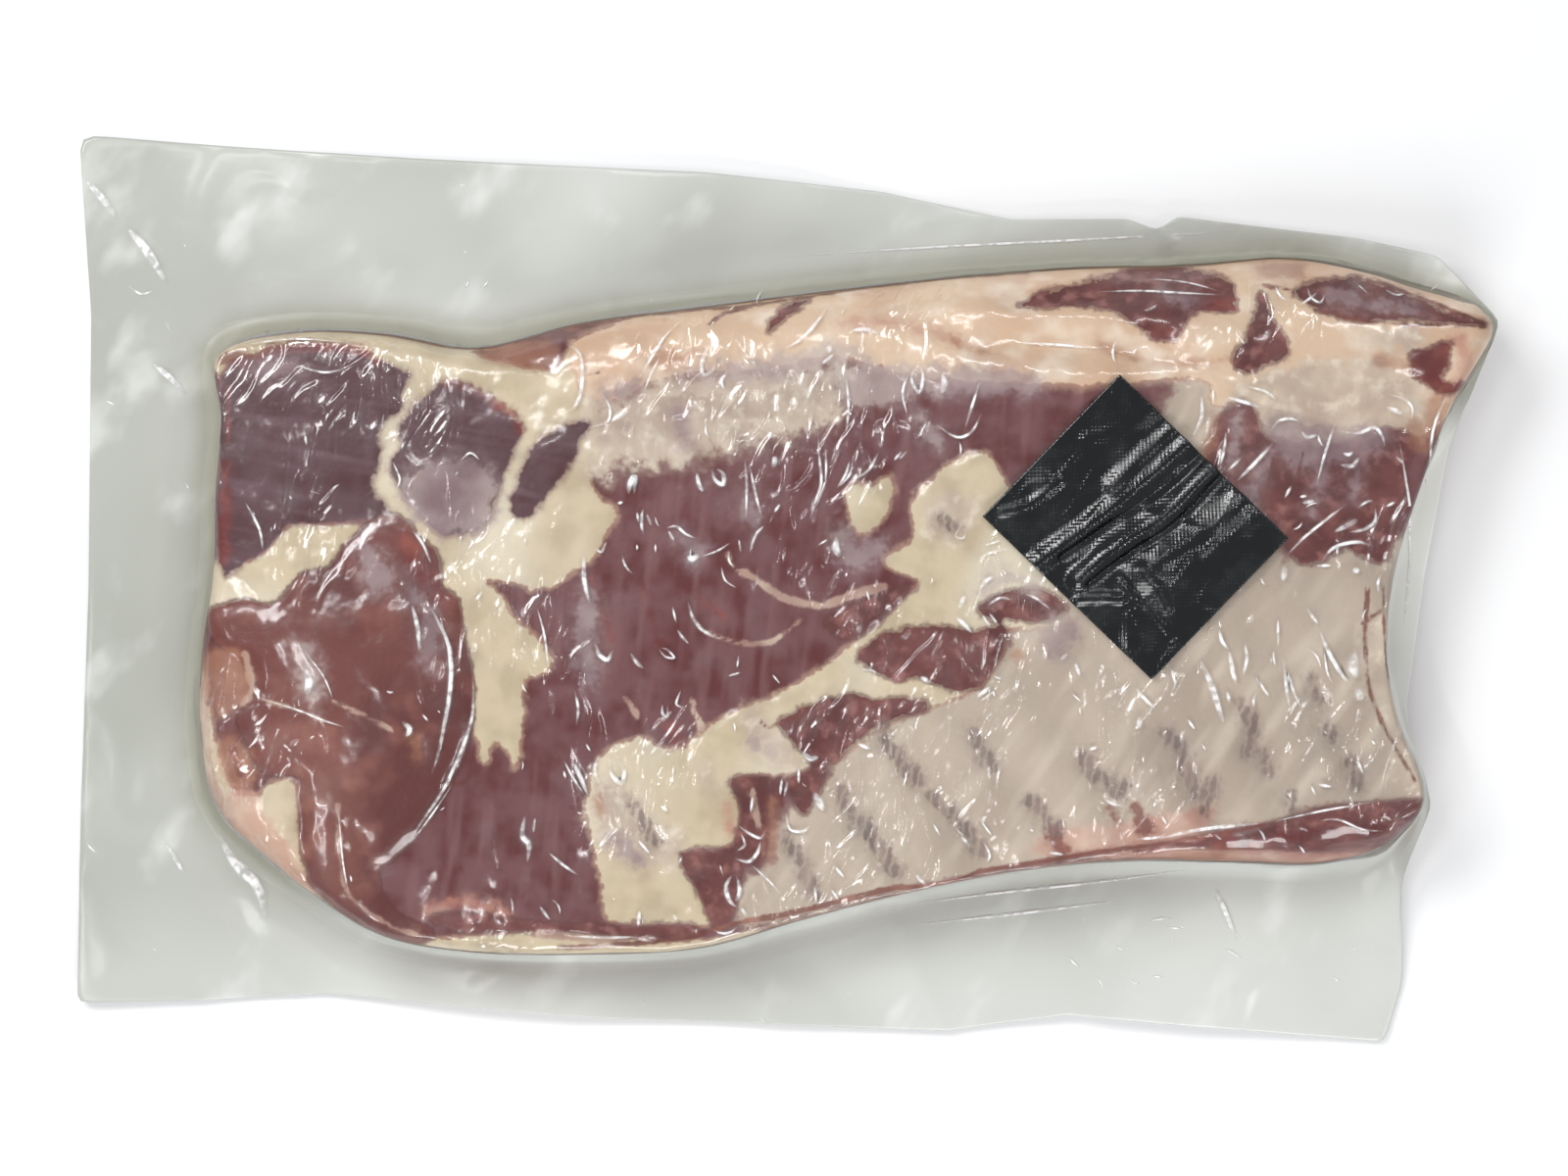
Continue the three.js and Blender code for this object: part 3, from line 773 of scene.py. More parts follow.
def flesh_grain_group() -> bpy.types.NodeTree:
    """Uneven colour: three colours shared out by a broad noise and a fine one."""
    inputs = dict.fromkeys(("Dark", "Middle", "Light"), "Color")
    inputs.update(dict.fromkeys(("Broad", "Fine"), "Float"))
    wiring, given, result = new_group("Flesh grain", inputs, {"Colour": "Color"})
    broad = wiring.step(given.outputs["Broad"], *BROAD_CHANGE)
    base = wiring.blend(broad, given.outputs["Dark"], given.outputs["Middle"])
    fine = wiring.step(given.outputs["Fine"], *FINE_CHANGE)
    mixed = wiring.blend(fine, base, given.outputs["Light"])
    wiring.feed(result.inputs["Colour"], mixed)
    return wiring.tree


def film_wrinkle_group() -> bpy.types.NodeTree:
    """Tight film: round-topped creases in two directions, in patches, over a shallow ripple."""
    inputs = {"Length": "Float", "Width": "Float", "Turn": "Vector", "Ripple": "Float"}
    outputs = {"Height": "Float", "Crease": "Float"}
    wiring, given, result = new_group("Film wrinkles", inputs, outputs)
    grain = wiring.node("ShaderNodeCombineXYZ")
    for axis, size in (("X", "Width"), ("Y", "Length"), ("Z", "Length")):
        wiring.feed(grain.inputs[axis], wiring.math("DIVIDE", 1, given.outputs[size]))
    lean = wiring.node("ShaderNodeVectorMath", operation="ADD")
    wiring.feed(lean.inputs[0], given.outputs["Turn"])
    lean.inputs[1].default_value = (0, 0, CREASE_LEAN)
    plain = wiring.placed()
    sharp = []
    for turn in (given.outputs["Turn"], lean.outputs["Vector"]):
        cloud = wiring.noise(wiring.placed(grain.outputs["Vector"], turn), 1, 1)
        off_line = wiring.math("ABSOLUTE", wiring.math("SUBTRACT", cloud, 0.5))
        sharp.append(wiring.step(off_line, CREASE_REACH, 0))
    second = wiring.step(wiring.noise(plain, SET_CLOUDS, 0), *SET_CHANGE)
    patches = wiring.step(wiring.noise(plain, PATCH_CLOUDS, 0), *PATCH_CHANGE)
    crease = wiring.math("MULTIPLY", wiring.between(second, *sharp), patches)
    waves = wiring.noise(plain, RIPPLE_CLOUDS, 1)
    ripple = wiring.math("MULTIPLY", waves, given.outputs["Ripple"])
    wiring.feed(result.inputs["Crease"], crease)
    wiring.feed(result.inputs["Height"], wiring.math("ADD", crease, ripple))
    return wiring.tree


@dataclass(frozen=True)
class SharedEffects:
    """The shader node groups that several materials use."""

    edge: bpy.types.NodeTree = field(default_factory=ragged_edge_group)
    grain: bpy.types.NodeTree = field(default_factory=flesh_grain_group)
    wrinkles: bpy.types.NodeTree = field(default_factory=film_wrinkle_group)


def new_material(name: str) -> tuple[bpy.types.Material, Wiring, bpy.types.Node]:
    """A material with its wiring and its Principled shader."""
    material = bpy.data.materials.new(name)
    material.use_nodes = True
    wiring = Wiring(material.node_tree)
    return material, wiring, material.node_tree.nodes["Principled BSDF"]


# ---- finishes -----------------------------------------------------------------------------------


class Grain(Enum):
    """A noise that tissues take their unevenness from: its clouds in a metre, turn and detail."""

    BLOCKS = ((22, 15, 20), 0.2, 1)
    MOTTLE = ((62, 62, 62), 0.0, 2)
    RAGGED = ((150, 150, 150), 0.0, 2)
    FLECKS = ((420, 420, 420), 0.0, 1)
    UPRIGHT = ((150, 22, 60), 0.1, 1)
    LEVEL = ((24, 170, 60), 0.18, 1)
    LEANING = ((110, 26, 60), 0.62, 1)


@dataclass(frozen=True)
class FleshFinish:
    """One tissue's colours, what shares them out, and its edge, in millimetres."""

    dark: Colour
    middle: Colour
    light: Colour
    broad: Grain = Grain.BLOCKS
    fine: Grain = Grain.MOTTLE
    ragged: float = 8.0
    soft: float = 0.5
    fringe: float = 3.0
    cover: float = 1.0
    # A line along the tissue's edge: the tissue's own contour tint for fat, skin and bluish muscle,
    # and painted shade for the lobe and the dark muscle.
    rim: Colour = srgb(150, 96, 84)
    rim_cover: float = 0.35


MAIN_MUSCLE = FleshFinish(
    srgb(90, 34, 34), srgb(108, 66, 68), srgb(118, 78, 79), Grain.MOTTLE, Grain.UPRIGHT,
)
# The rind of the cut sides, darker than rind alone: its own colour with painted shade on the steep
# sides.
SHADED_RIND = FleshFinish(srgb(164, 132, 104), srgb(182, 152, 124), srgb(198, 172, 146))
SIDE_LEAN = FleshFinish(srgb(100, 52, 48), srgb(120, 72, 66), srgb(156, 110, 100))
# The pale layers of the cut sides: each one's lower and upper height, in metres, and its finish.
SIDE_LAYERS = ((0.0, 0.011, SHADED_RIND), (0.017, 0.021, SHADED_RIND), (0.029, 0.031, SHADED_RIND))

FLESH_FINISHES: dict[Tissue, FleshFinish] = {
    Tissue.SKIN: FleshFinish(
        srgb(166, 150, 135), srgb(183, 167, 150), srgb(197, 182, 165), Grain.BLOCKS,
        Grain.LEANING, soft=1.6, fringe=6, rim=srgb(160, 128, 116), rim_cover=0.25,
    ),
    Tissue.FAT: FleshFinish(
        srgb(184, 167, 138), srgb(199, 182, 153), srgb(214, 202, 179), Grain.MOTTLE,
        Grain.BLOCKS, ragged=5, rim=srgb(168, 116, 98),
    ),
    Tissue.PEACH_FAT: FleshFinish(
        srgb(200, 166, 138), srgb(213, 185, 157), srgb(227, 209, 189), Grain.BLOCKS,
        Grain.MOTTLE, ragged=5, fringe=5, rim=srgb(168, 116, 98),
    ),
    Tissue.GREY_FAT: FleshFinish(
        srgb(178, 159, 143), srgb(199, 182, 162), srgb(220, 207, 187), Grain.MOTTLE,
        Grain.RAGGED, ragged=14, soft=2.8, fringe=9, cover=0.85, rim_cover=0,
    ),
    Tissue.PINK_FAT: FleshFinish(
        srgb(176, 116, 100), srgb(194, 148, 130), srgb(216, 184, 164), soft=2, fringe=5,
        cover=0.7, rim_cover=0,
    ),
    Tissue.BLUISH: FleshFinish(
        srgb(76, 40, 43), srgb(86, 56, 61), srgb(98, 70, 76), Grain.MOTTLE, Grain.LEVEL,
        ragged=5, soft=0.9, fringe=4, rim=srgb(140, 100, 98),
    ),
    # The lobe's dark rim is painted shade along its edge.
    Tissue.LOBE: FleshFinish(
        srgb(90, 39, 35), srgb(106, 53, 47), srgb(124, 71, 62), Grain.BLOCKS, Grain.MOTTLE,
        ragged=4, rim=srgb(78, 36, 34), rim_cover=0.7,
    ),
    Tissue.LOBE_PALE: FleshFinish(
        srgb(112, 62, 54), srgb(134, 82, 72), srgb(152, 106, 92), soft=5, fringe=10,
        cover=0.75, rim_cover=0,
    ),
    # The dark rim is painted shade along the edge.
    Tissue.DARK: FleshFinish(
        srgb(88, 40, 38), srgb(108, 58, 54), srgb(142, 92, 86), Grain.MOTTLE, Grain.RAGGED,
        ragged=5, soft=0.3, rim=srgb(84, 38, 36), rim_cover=0.5,
    ),
    Tissue.BLOOD: FleshFinish(
        srgb(88, 22, 20), srgb(114, 38, 33), srgb(146, 78, 66), soft=1.2, fringe=3, cover=0.75,
        rim_cover=0,
    ),
    Tissue.GAP: FleshFinish(
        srgb(104, 86, 82), srgb(124, 105, 99), srgb(158, 138, 128), Grain.MOTTLE,
        Grain.UPRIGHT, soft=1.5, fringe=5, ragged=9, cover=0.85, rim_cover=0,
    ),
    Tissue.MEMBRANE: FleshFinish(
        srgb(132, 108, 112), srgb(158, 138, 138), srgb(188, 172, 164), Grain.MOTTLE,
        Grain.BLOCKS, soft=2.4, fringe=8, ragged=12, cover=0.74, rim_cover=0,
    ),
    Tissue.VEIN: FleshFinish(
        srgb(158, 122, 110), srgb(180, 150, 134), srgb(208, 186, 166), soft=0.5, fringe=1.2,
        ragged=3, cover=0.85, rim_cover=0,
    ),
    Tissue.AMBER: FleshFinish(
        srgb(138, 88, 66), srgb(164, 114, 88), srgb(188, 144, 114), soft=2.0, fringe=5,
        ragged=6, cover=0.62, rim_cover=0,
    ),
    # The thin dark lines: painted fold and edge shade, with a few brown lines of the tissue.
    Tissue.THREAD: FleshFinish(
        srgb(90, 40, 34), srgb(116, 60, 50), srgb(160, 104, 86), soft=0.45, fringe=1.0,
        ragged=2.2, cover=0.85, rim_cover=0,
    ),
}


@dataclass(frozen=True)
class MeatFinish:
    """Raw pork seen through film that clings to it: every tissue in turn, under one gloss."""

    name: str = "raw_pork_under_film"
    roughness: Span = (0.34, 0.55)
    side_roughness: float = 0.85
    wetness: float = 0.3
    texture: float = 0.25 * MM
    layer_wander: float = 14 * MM
    layer_blur: float = 1 * MM
    hatch_scale: float = 84.0
    hatch_turn: float = 0.2
    hatch_bend: float = 5.0
    hatch_detail: float = 2.0
    hatch_line: Span = (0, 0.6)
    hatch_cover: float = 0.55

    def make(self, shared: SharedEffects) -> bpy.types.Material:
        """The material.

        Args:
            shared: The node groups that materials share.

        Returns:
            The finished material.
        """
        material, wiring, shader = new_material(self.name)
        noises = {
            grain: wiring.noise(wiring.placed(grain.value[0], (0, 0, grain.value[1])), 1,
                                grain.value[2])
            for grain in Grain
        }

        def grained(finish: FleshFinish) -> Socket:
            """A tissue's uneven colour."""
            made = wiring.group(
                shared.grain, Dark=finish.dark, Middle=finish.middle, Light=finish.light,
                Broad=noises[finish.broad], Fine=noises[finish.fine],
            )
            return made.outputs["Colour"]

        colour = grained(MAIN_MUSCLE)
        for tissue, finish in FLESH_FINISHES.items():
            edge = wiring.group(
                shared.edge, Depth=wiring.attribute(tissue.value), Coarse=noises[Grain.RAGGED],
                Fine=noises[Grain.FLECKS], Ragged=finish.ragged, Soft=finish.soft,
                Fringe=finish.fringe, Cover=finish.cover,
            )
            mask = edge.outputs["Mask"]
            if tissue is Tissue.GAP:
                mask = wiring.math("MULTIPLY", mask, self.hatching(wiring))
            colour = wiring.blend(mask, colour, grained(finish))
            if finish.rim_cover:
                rim = wiring.math("MULTIPLY", edge.outputs["Rim"], finish.rim_cover)
                colour = wiring.blend(rim, colour, finish.rim)
        sides = self.layered(wiring, noises[Grain.BLOCKS], grained)
        colour = wiring.blend(wiring.attribute("steep"), colour, sides)
        wiring.feed(shader.inputs["Base Color"], colour)
        gloss = wiring.between(noises[Grain.MOTTLE], *self.roughness)
        gloss = wiring.between(wiring.attribute("steep"), gloss, self.side_roughness)
        wiring.feed(shader.inputs["Roughness"], gloss)
        shader.inputs["Specular IOR Level"].default_value = self.wetness
        wiring.feed(shader.inputs["Normal"], wiring.bump(noises[Grain.FLECKS], self.texture))
        return material

    def layered(
        self, wiring: Wiring, cloud: Socket, grained: Callable[[FleshFinish], Socket],
    ) -> Socket:
        """The colour of the cut sides: lean between layers of fat and rind.

        Args:
            wiring: The material's wiring.
            cloud: The noise that makes the layers wander up and down.
            grained: What gives a tissue's uneven colour.

        Returns:
            The colour at each height.
        """
        place = wiring.node("ShaderNodeSeparateXYZ")
        wiring.feed(place.inputs[0], wiring.placed())
        wander = wiring.math("SUBTRACT", cloud, 0.5)
        height = wiring.math("MULTIPLY_ADD", wander, self.layer_wander, place.outputs["Z"])
        sides = grained(SIDE_LEAN)
        blur = self.layer_blur
        for low, high, finish in SIDE_LAYERS:
            above = wiring.step(height, low - blur, low + blur) if low else 1.0
            below = wiring.step(height, high + blur, high - blur)
            sides = wiring.blend(wiring.math("MULTIPLY", above, below), sides, grained(finish))
        return sides

    def hatching(self, wiring: Wiring) -> Socket:
        """Fine light lines across the dark gaps between ribs."""
        lines = wiring.node("ShaderNodeTexWave", wave_profile="SIN")
        wiring.feed(lines.inputs["Vector"], wiring.placed(turn=(0, 0, self.hatch_turn)))
        lines.inputs["Scale"].default_value = self.hatch_scale
        lines.inputs["Distortion"].default_value = self.hatch_bend
        lines.inputs["Detail Scale"].default_value = self.hatch_detail
        between_lines = wiring.step(lines.outputs["Fac"], *self.hatch_line)
        return wiring.between(between_lines, self.hatch_cover, 1)


@dataclass(frozen=True)
class ClingFinish:
    """Clear vacuum film where it clings to the meat: all gloss and hardly any colour.

    At the meat's foot it turns into the folded film of the margins.
    """

    name: str = "clinging_film"
    mirrored: float = 0.055
    milky: float = 0.05
    pinched: float = 0.05
    clouds: float = 55.0
    milky_cloud: Span = (0.5, 0.72)
    roughness: Span = (0.07, 0.24)
    foot_pale: Colour = srgb(200, 202, 195)
    # Painted shade: the folded film at the foot is dark olive on the far side and the thin end.
    foot_painted_shade: Colour = srgb(150, 148, 130)
    foot_cover: float = 0.92
    foot_roughness: float = 0.6
    crease_length: float = 32 * MM
    crease_width: float = 10 * MM
    crease_turn: float = 0.05
    crease_height: float = 1.0 * MM
    ripple: float = 0.34

    def make(self, shared: SharedEffects) -> bpy.types.Material:
        """The material, whose cover over the meat is what clear film mirrors.

        Args:
            shared: The node groups that materials share.

        Returns:
            The finished material.
        """
        material, wiring, shader = new_material(self.name)
        wrinkles = wiring.group(
            shared.wrinkles, Length=self.crease_length, Width=self.crease_width,
            Turn=(0, 0, self.crease_turn), Ripple=self.ripple,
        )
        normal = wiring.bump(wrinkles.outputs["Height"], self.crease_height)
        wiring.feed(shader.inputs["Normal"], normal)
        cloud = wiring.noise(wiring.placed(), self.clouds, 2)
        milky = wiring.step(cloud, *self.milky_cloud)
        haze = wiring.math("MULTIPLY_ADD", milky, self.milky, self.mirrored)
        cover = wiring.math("MULTIPLY_ADD", wrinkles.outputs["Crease"], self.pinched, haze)
        at_foot = wiring.attribute("foot")
        wiring.feed(shader.inputs["Alpha"], wiring.between(at_foot, cover, self.foot_cover))
        gloss = wiring.between(cloud, *self.roughness)
        dull = wiring.between(at_foot, gloss, self.foot_roughness)
        wiring.feed(shader.inputs["Roughness"], dull)
        # Painted shade at the foot on the far side and the thin end, pale film colour elsewhere.
        folded = wiring.blend(wiring.attribute("shaded"), self.foot_pale, self.foot_painted_shade)
        wiring.feed(shader.inputs["Base Color"], wiring.blend(at_foot, (1, 1, 1, 1), folded))
        wiring.feed(shader.inputs["Metallic"], wiring.math("SUBTRACT", 1, at_foot))
        return material


@dataclass(frozen=True)
class LooseFinish:
    """The film's loose margins, where it lies on itself: grey-green and glossy, with painted light
    and shade.

    The spans along X and Y are metres, and those of the reach from the meat are millimetres.
    """

    name: str = "loose_film"
    dark: Colour = srgb(186, 188, 180)
    light: Colour = srgb(206, 208, 202)
    clouds: float = 7.0
    light_cloud: Span = (0.34, 0.66)
    # Painted shade: the left side of the margins is darker, as if less light fell there.
    left: Colour = srgb(164, 166, 156)
    left_shade_along_x: Span = (-0.17, -0.30)
    left_shade_cover: float = 0.7
    # Painted light: the near side of the margins is lighter, as if more light fell there.
    bright: Colour = srgb(228, 230, 225)
    near_light_along_y: Span = (-0.12, -0.17)
    near_light_cover: float = 0.28
    # Painted sheen: soft white patches stand in for the film's broad reflections of the lamps.
    painted_sheen: Colour = srgb(240, 242, 238)
    sheen_grain: tuple[float, float, float] = (34, 20, 26)
    sheen_turn: float = 0.6
    sheen_cloud: Span = (0.54, 0.76)
    sheen_cover: float = 0.5
    # Painted shade: a dark olive band beside the meat on the far side and the thin end.
    painted_shade_by_meat: Colour = srgb(146, 143, 122)
    shade_reach: Span = (13, -5)
    shade_wander: float = -6.0
    shade_cover: float = 0.75
    single: Colour = srgb(240, 243, 236)
    alpha: Span = (0.86, 0.95)
    roughness: Span = (0.12, 0.3)
    rough_clouds: float = 30.0
    foot_roughness: float = 0.6
    foot_reach: Span = (9, 3)
    crease_length: float = 90 * MM
    crease_width: float = 60 * MM
    crease_turn: float = 0.6
    crease_height: float = 0.5 * MM
    ripple: float = 0.2

    def make(self, shared: SharedEffects) -> bpy.types.Material:
        """The material.

        Args:
            shared: The node groups that materials share.

        Returns:
            The finished material.
        """
        material, wiring, shader = new_material(self.name)
        plain = wiring.placed()
        cloud = wiring.step(wiring.noise(plain, self.clouds, 2), *self.light_cloud)
        reach = wiring.attribute("loose")
        place = wiring.node("ShaderNodeSeparateXYZ")
        wiring.feed(place.inputs[0], plain)
        sheen_noise = wiring.noise(wiring.placed(self.sheen_grain, (0, 0, self.sheen_turn)), 1, 3)
        near = wiring.math("MULTIPLY_ADD", cloud, self.shade_wander, reach)
        shade = wiring.step(near, *self.shade_reach)
        # Over the film's own cloudy grey-green: painted shade on the left, painted light on the
        # near side, painted sheen patches, and painted shade beside the meat.
        over = (
            (wiring.step(place.outputs["X"], *self.left_shade_along_x), self.left_shade_cover, self.left),
            (wiring.step(place.outputs["Y"], *self.near_light_along_y), self.near_light_cover, self.bright),
            (wiring.step(sheen_noise, *self.sheen_cloud), self.sheen_cover, self.painted_sheen),
            (wiring.math("MULTIPLY", shade, wiring.attribute("shaded")), self.shade_cover,
             self.painted_shade_by_meat),
        )
        margin = wiring.blend(cloud, self.dark, self.light)
        for mask, cover, colour in over:
            margin = wiring.blend(wiring.math("MULTIPLY", mask, cover), margin, colour)
        margin = wiring.blend(wiring.attribute("single"), margin, self.single)
        wiring.feed(shader.inputs["Base Color"], margin)
        wiring.feed(shader.inputs["Alpha"], wiring.between(cloud, *self.alpha))
        gloss = wiring.between(wiring.noise(plain, self.rough_clouds, 2), *self.roughness)
        at_foot = wiring.step(reach, *self.foot_reach)
        wiring.feed(shader.inputs["Roughness"], wiring.between(at_foot, gloss, self.foot_roughness))
        wrinkles = wiring.group(
            shared.wrinkles, Length=self.crease_length, Width=self.crease_width,
            Turn=(0, 0, self.crease_turn), Ripple=self.ripple,
        )
        normal = wiring.bump(wrinkles.outputs["Height"], self.crease_height)
        wiring.feed(shader.inputs["Normal"], normal)
        return material


@dataclass(frozen=True)
class CreaseFinish:
    """Film pinched double: a glossy white line, part whitened film and part painted glint, in a
    milky halo that fades out.
    """

    name: str = "pinched_film"
    dull: Colour = srgb(214, 208, 205)
    # Painted highlight: the white core shows as a glint whatever the light, as well as film
    # whitened where it is pinched.
    bright: Colour = srgb(255, 255, 254)
    alpha: Span = (0.0, 0.92)
    clouds: float = 260.0
    whole_cloud: Span = (0.32, 0.62)
    broken_cover: float = 0.3
    fading: float = 1.6
    roughness: float = 0.14

    def make(self) -> bpy.types.Material:
        """The material, whose cover follows the crease's own height."""
        material, wiring, shader = new_material(self.name)
        core = wiring.attribute("core")
        cloud = wiring.step(wiring.noise(wiring.placed(), self.clouds, 1), *self.whole_cloud)
        broken = wiring.between(cloud, self.broken_cover, 1.0)
        cover = wiring.math("MULTIPLY", wiring.math("POWER", core, self.fading), broken)
        # The core's white is painted glint together with whitened film.
        wiring.feed(shader.inputs["Base Color"], wiring.blend(core, self.dull, self.bright))
        wiring.feed(shader.inputs["Alpha"], wiring.between(cover, *self.alpha))
        shader.inputs["Roughness"].default_value = self.roughness
        return material


@dataclass(frozen=True)
class ClothFinish:
    """Black woven cloth, pressed shiny under the film's weight."""

    name: str = "black_woven_cloth"
    deep: Colour = srgb(2, 5, 7)
    # Lighter thread tops in worn patches: wear together with painted sheen for the weave's glints.
    wear_and_painted_sheen: Colour = srgb(15, 22, 24)
    threads: tuple[float, float] = (92, 77)
    thread_height: float = 0.06 * MM
    thread_strength: float = 0.6
    thread_top: Span = (-0.2, 0.9)
    wear_clouds: float = 90.0
    wear_cloud: Span = (0.42, 0.68)
    least_wear: float = 0.2
    roughness: Span = (0.13, 0.3)
    shine: float = 0.7

    def make(self) -> bpy.types.Material:
        """The material, whose weave follows the cloth's own map."""
        material, wiring, shader = new_material(self.name)
        own_map = wiring.node("ShaderNodeUVMap")
        axes = wiring.node("ShaderNodeSeparateXYZ")
        wiring.feed(axes.inputs[0], own_map.outputs["UV"])
        waves = []
        for axis, threads in zip("XY", self.threads):
            turns = wiring.math("MULTIPLY", axes.outputs[axis], threads * math.pi)
            waves.append(wiring.math("SINE", turns))
        weave = wiring.math("MULTIPLY", waves[0], waves[1])
        wear = wiring.step(wiring.noise(wiring.placed(), self.wear_clouds, 4), *self.wear_cloud)
        raised = wiring.step(weave, *self.thread_top)
        # Raised threads in worn patches take the lighter colour: wear and painted sheen.
        shade = wiring.math("MULTIPLY", raised, wiring.between(wear, self.least_wear, 1))
        wiring.feed(shader.inputs["Base Color"], wiring.blend(shade, self.deep, self.wear_and_painted_sheen))
        wiring.feed(shader.inputs["Roughness"], wiring.between(wear, *self.roughness))
        relief = wiring.bump(weave, self.thread_height, self.thread_strength)
        wiring.feed(shader.inputs["Normal"], relief)
        shader.inputs["Specular IOR Level"].default_value = self.shine
        return material


# ---- mesh work ----------------------------------------------------------------------------------

MERGE = 0.005 * MM
SHEET_THICKNESS = 1.2 * MM
# Between which values of a normal's Z, from level to upward, relief sets in.
RELIEF_FACING = (0.1, 0.4)


def only(piece: bpy.types.Object) -> None:
    """Selects one object alone and makes it active."""
    bpy.ops.object.select_all(action="DESELECT")
    piece.select_set(True)
    bpy.context.view_layer.objects.active = piece


def places_of(mesh: bpy.types.Mesh) -> np.ndarray:
    """Rows of X, Y and Z of a mesh's points."""
    flat = np.empty(len(mesh.vertices) * 3, np.float32)
    mesh.vertices.foreach_get("co", flat)
    return flat.reshape(-1, 3).astype(float)


def normals_of(mesh: bpy.types.Mesh) -> np.ndarray:
    """Rows of the way each point of a mesh faces."""
    flat = np.empty(len(mesh.vertices) * 3, np.float32)
    mesh.vertex_normals.foreach_get("vector", flat)
    return flat.reshape(-1, 3).astype(float)


def move_to(mesh: bpy.types.Mesh, places: np.ndarray) -> None:
    """Puts a mesh's points at new places."""
    mesh.vertices.foreach_set("co", places.astype(np.float32).ravel())
    mesh.update()


def store(mesh: bpy.types.Mesh, name: str, values: np.ndarray) -> None:
    """Gives each point of a mesh a number under a name."""
    made = mesh.attributes.get(name) or mesh.attributes.new(name, "FLOAT", "POINT")
    made.data.foreach_set("value", values.astype(np.float32))


def stored(mesh: bpy.types.Mesh, name: str) -> np.ndarray:
    """The numbers that a mesh's points carry under a name."""
    values = np.empty(len(mesh.vertices), np.float32)
    mesh.attributes[name].data.foreach_get("value", values)
    return values.astype(float)


def soft_step(low: float, high: float, value: np.ndarray) -> np.ndarray:
    """0 up to `low`, 1 from `high` on, and a smooth rise between them."""
    part = np.clip((value - low) / (high - low), 0, 1)
    return part * part * (3 - 2 * part)


def cloud_noise(places: np.ndarray, size: Sequence[float], seed: int) -> np.ndarray:
    """Smooth seeded noise from 0 to 1 over X and Y.

    Args:
        places: Rows of X and Y, and more that isn't read.
        size: How wide one cloud is along X and along Y.
        seed: Which noise it is.

    Returns:
        One value for each place.
    """
    lattice = np.random.default_rng(seed).random((256, 256))
    scaled = places[:, :2] / np.array(size)
    cell = np.floor(scaled).astype(int)
    part = scaled - cell
    part = part * part * (3 - 2 * part)
    sides = []
    for i in (0, 1):
        start, end = (lattice[(cell[:, 0] + i) % 256, (cell[:, 1] + j) % 256] for j in (0, 1))
        sides.append(start * (1 - part[:, 1]) + end * part[:, 1])
    return sides[0] * (1 - part[:, 0]) + sides[1] * part[:, 0]


def creased_noise(places: np.ndarray, size: Sequence[float], turn: float, seed: int) -> np.ndarray:
    """Seeded noise with sharp ridges, from 0 to 1.

    Args:
        places: Rows of X and Y, and more that isn't read.
        size: How far apart the ridges lie, and how long they are.
        turn: How far they are turned about Z, in radians.
        seed: Which noise it is.

    Returns:
        One value for each place.
    """
    across = places[:, 0] * math.cos(turn) + places[:, 1] * math.sin(turn)
    along = places[:, 1] * math.cos(turn) - places[:, 0] * math.sin(turn)
    cloud = cloud_noise(np.column_stack([across, along]), size, seed)
    return (1 - np.abs(2 * cloud - 1)) ** 4


def select_faces(piece: bpy.types.Object, chosen: np.ndarray) -> None:
    """Selects faces of a mesh, and leaves it in edit mode on faces."""
    mesh = piece.data
    only(piece)
    bpy.ops.object.mode_set(mode="EDIT")
    bpy.ops.mesh.select_mode(type="FACE")
    bpy.ops.mesh.select_all(action="DESELECT")
    bpy.ops.object.mode_set(mode="OBJECT")
    mesh.polygons.foreach_set("select", chosen)
    bpy.ops.object.mode_set(mode="EDIT")


def face_normals(mesh: bpy.types.Mesh) -> np.ndarray:
    """Rows of the way each face of a mesh faces."""
    normals = np.empty(len(mesh.polygons) * 3, np.float32)
    mesh.polygons.foreach_get("normal", normals)
    return normals.reshape(-1, 3)


def subdivided(piece: bpy.types.Object, levels: int) -> None:
    """Rounds a piece by subdivision, applied to its mesh."""
    only(piece)
    bpy.ops.object.modifier_add(type="SUBSURF")
    rounding = piece.modifiers[-1]
    rounding.levels = levels
    rounding.render_levels = levels
    bpy.ops.object.modifier_apply(modifier=rounding.name)


def smooth_shaded(piece: bpy.types.Object) -> None:
    """Shades a piece as one smooth surface."""
    only(piece)
    bpy.ops.object.shade_smooth()


